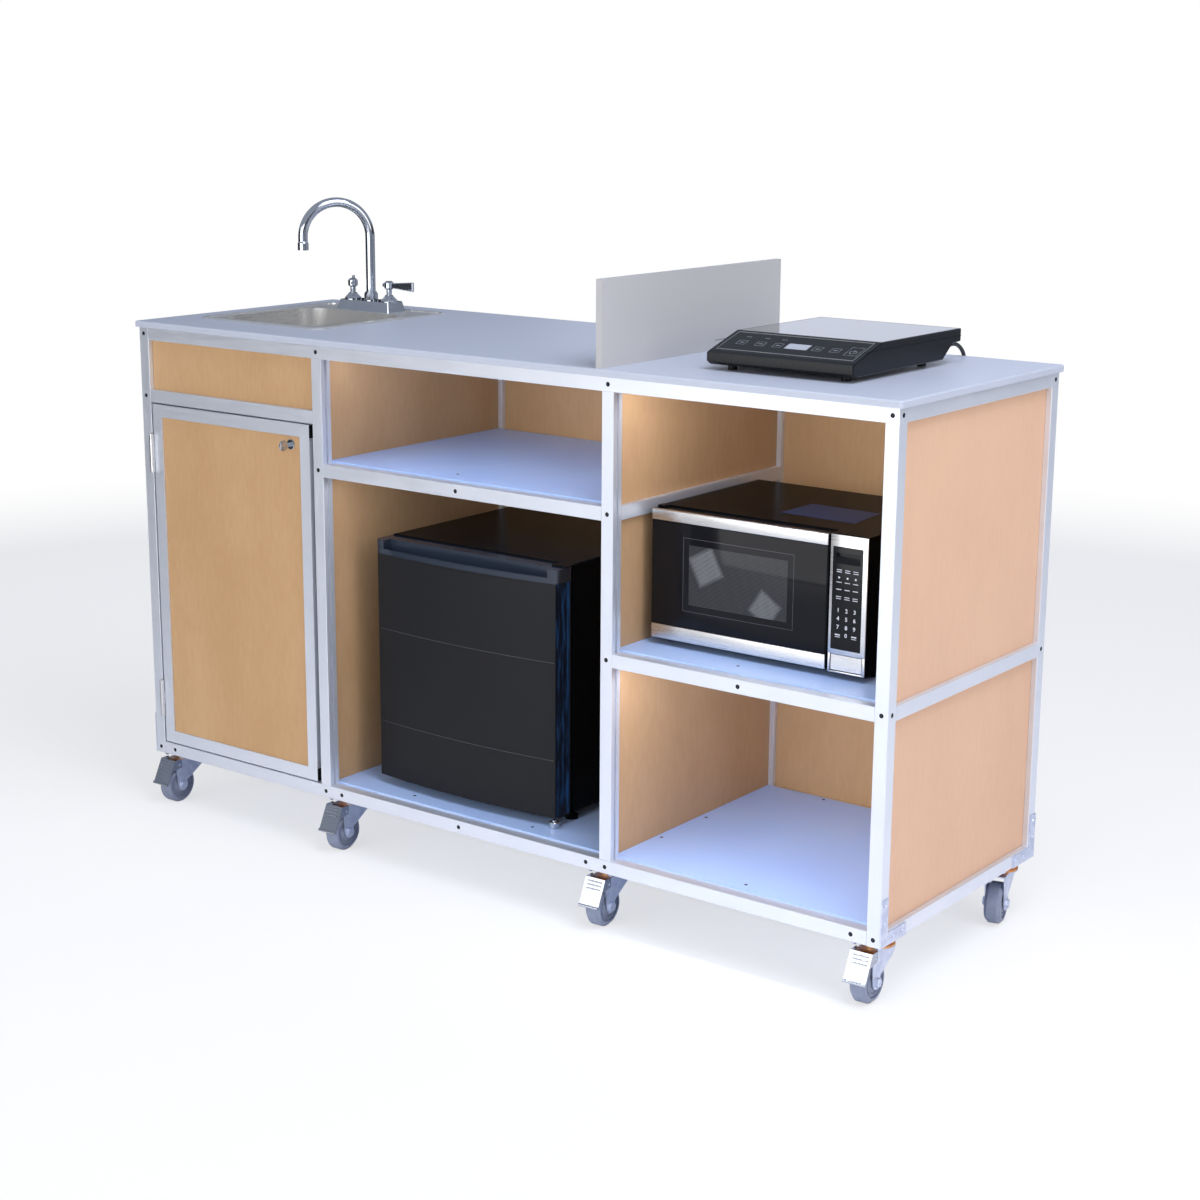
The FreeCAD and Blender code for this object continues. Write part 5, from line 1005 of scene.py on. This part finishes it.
keys = []
for centre in KEY_CENTRES:
    keys += rim(*around(centre, KEY_LEVEL, *KEY_HALVES), KEY_LINE)
    keys.append(around(centre, KEY_LEVEL, *DASH_HALVES))
keys += rim(*around(POWER, KEY_LEVEL + POWER_RISE, *POWER_HALVES), KEY_LINE)
keys += [(centre - BAR_OVER_KEY, centre + BAR_OVER_KEY, *BAR_LEVELS) for centre in KEY_CENTRES[:3]]
slope_piece("cooktop_key_outlines", keys, PRINT_THICK, FAINT_PRINT)

border = rim(BORDER_IN, COOK_WIDE - BORDER_IN, SLOPE_LONG * 0.09, SLOPE_LONG * 0.93, BORDER_LINE)
slope_piece("cooktop_panel_border", border, MARK_THICK, STAINLESS)

glass_pane = around(COOK_WIDE * 0.53, SLOPE_LONG * 0.47, COOK_WIDE * 0.075, 0.010)
slope_piece("cooktop_display", [glass_pane], DISPLAY_THICK, DISPLAY)

# %% Power mark
RING_RADII, RING_STEPS = (0.0052, 0.0068), 24


def add_ring(work):
    """Adds the flat ring of the power mark."""
    angles = [2 * math.pi * step / RING_STEPS for step in range(RING_STEPS)]
    add_walls(work, *([work.verts.new(on_slope(POWER + radius * math.cos(angle),
                                               POWER_LEVEL + radius * math.sin(angle), MARK_THICK))
                       for angle in angles] for radius in RING_RADII))


stroke = (POWER - 0.0006, POWER + 0.0006, POWER_LEVEL + 0.001, POWER_LEVEL + 0.0085)
slope_piece("cooktop_power_mark", [stroke], MARK_THICK, FAINT_PRINT, extra=add_ring)

# %% The line where the cooktop's two shells meet, and the strain relief of the cord
SPLIT, SPLIT_TALL, SPLIT_HALF = cook_high.z - 0.0125, 0.0009, 0.0003
# The joint of the shells is a thin black strip of painted shade, where the gap between them is dark.
splits = [((x - SPLIT_HALF, SLOPE_FOOT.y + 0.018, SPLIT), (x + SPLIT_HALF, cook_high.y - 0.0005, SPLIT + SPLIT_TALL))
          for x in (cook_low.x, cook_high.x)]
blocks_piece("cooktop_split_lines", splits, 0.0, PAINTED_SHADOW_GAP)

RIBS, RIB_STEP, RIB_TAPER = 4, 0.0055, 0.0004
relief = [(0.0037, 0.0), (0.0062, 0.0), (0.0062, 0.003)]
for rib in range(RIBS):
    start = 0.003 + rib * RIB_STEP
    radius = 0.0060 - rib * RIB_TAPER
    relief += [(radius, start + 0.0008), (radius, start + 0.0038), (radius - 0.0011, start + 0.0044)]
relief += [(0.0040, 0.0262), (0.0037, 0.0262)]
turned_piece("cord_strain_relief", relief, CORD_ROUTE[0], (0, 1, 0), BLACK_RUBBER, 32)

# %% [markdown]
# ## The fridge's door
#
# The door's top is a grip: a lip with a groove behind it, moulded in smoky blue plastic. A thin
# blue film still covers the door's hinge side, and two fine lines cross the textured skin.

# %% Bowed lines on the door
FRIDGE_BOW, FRIDGE_LIP_BOW = 0.0140, 0.0160
FRIDGE_MID = (fridge_low.x + fridge_high.x) / 2
FRIDGE_HALF = (fridge_high.x - fridge_low.x) / 2
BOW_RADIUS = (FRIDGE_HALF ** 2 + FRIDGE_BOW ** 2) / (2 * FRIDGE_BOW)
CROWN = fridge_low.y + FRIDGE_LIP_BOW - FRIDGE_BOW
LINE_IN, LINE_TALL, LINE_PROUD, LINE_DEEP = 0.008, 0.0006, 0.0002, 0.0006
LINE_STEPS = 48
LINE_X = (fridge_low.x + LINE_IN, fridge_high.x - LINE_IN)


def bowed_y(x):
    """The arc through the door's two edges and its crown, as the door's front has it."""
    return CROWN + BOW_RADIUS - math.sqrt(BOW_RADIUS ** 2 - (x - FRIDGE_MID) ** 2)


def bowed_line(name, low, high):
    """A fine line across the door."""
    def build(work):
        rows = []
        for step in range(LINE_STEPS + 1):
            x = LINE_X[0] + (LINE_X[1] - LINE_X[0]) * step / LINE_STEPS
            front, back = bowed_y(x) - LINE_PROUD, bowed_y(x) + LINE_DEEP
            rows.append([work.verts.new((x, y, z))
                         for y, z in ((front, low), (front, high), (back, high), (back, low))])
        for row, after in zip(rows, rows[1:]):
            add_walls(work, row, after)
        work.faces.new(rows[0])
        work.faces.new(rows[-1][::-1])
    built_piece(name, build, FAINT_LINE, "fridge_door")


for number, share in enumerate((0.37, 0.765), start=1):
    level = fridge_high.z - (fridge_high.z - fridge_low.z) * share
    bowed_line(f"fridge_door_line_{number}", level, level + LINE_TALL)

# %% Film on the door's hinge side
FILM_EDGE = fridge_high.y - 0.019
FILM_Y = (fridge_low.y + 0.0095, fridge_high.y - 0.0115)
FILM_Z = (fridge_low.z + 0.004, fridge_high.z - GRIP_TALL)
FILM_DEEP, FILM_STEPS = 8, 60
FILM_LIFT, FILM_WAVE = 0.00008, 0.00012


def film_material():
    """Thin blue film, loose in places; its long creases are painted lighter as painted highlights, and it is lighter
    towards its rear edge.
    """
    material, tree, shader = start_material("loose_blue_film_painted_highlights", "#14243A", roughness=0.30,
                                            specular_ior_level=0.15)
    crease = noise(tree, 7.0, detail=3.0, stretch=(1.0, 1.0, 0.12))
    rear_lighter = spread(tree, axes(tree, object_place(tree))["Y"], 0.0, 0.16, FILM_EDGE - 0.002, FILM_EDGE)
    bright = spread(tree, maths(tree, "ADD", crease, rear_lighter), 0.0, 1.0, 0.48, 0.74)
    # The creases are painted highlights in the base colour; the band near the rear edge is lighter as well.
    surface(shader, base_color=between(tree, bright, "#101A29", "#275486"), normal=bump(tree, crease, 0.8, 0.8))
    return material


def build_side_film(work):
    rows = []
    for step in range(FILM_STEPS + 1):
        z = FILM_Z[0] + (FILM_Z[1] - FILM_Z[0]) * step / FILM_STEPS
        row = []
        for place in range(FILM_DEEP + 1):
            y = FILM_Y[0] + (FILM_Y[1] - FILM_Y[0]) * place / FILM_DEEP
            lift = FILM_LIFT + FILM_WAVE * (1 + math.sin(step * 0.9 + place * 1.7)) * (place % 2)
            row.append(work.verts.new((fridge_high.x + lift, y, z)))
        rows.append(row)
    for low, high in zip(rows, rows[1:]):
        add_walls(work, low, high, closed=False)


built_piece("fridge_side_film", build_side_film, film_material(), "fridge_door", 60.0)

# %% Gasket and levelling knob
GASKET_IN, GASKET_WIDE = 0.008, 0.010
GASKET_Y = (fridge_high.y - 0.0004, fridge_high.y + 0.0013)
seal = [((x0, GASKET_Y[0], z0), (x1, GASKET_Y[1], z1))
        for x0, x1, z0, z1 in rim(fridge_low.x + GASKET_IN, fridge_high.x - GASKET_IN,
                                  fridge_low.z + GASKET_IN, fridge_high.z - GASKET_IN, GASKET_WIDE)]
blocks_piece("fridge_gasket", seal, 0.0003, GREY_GASKET, "fridge_door")
knob = [(0.0, 0.0), (0.0085, 0.0), (0.0105, 0.0015), (0.0105, 0.0105), (0.0090, 0.0120), (0.0045, 0.0125),
        (0.0045, 0.0150), (0.0, 0.0150)]
knob_foot = (fridge_high.x - 0.007, fridge_low.y + 0.016, deck_top)
turned_piece("fridge_levelling_knob", knob, knob_foot, (0, 0, 1), CHROME, 40)

size = {"cad": [list(c) for c in CAD_BOX], "scene": [list(c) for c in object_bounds()]}
print("size", size)
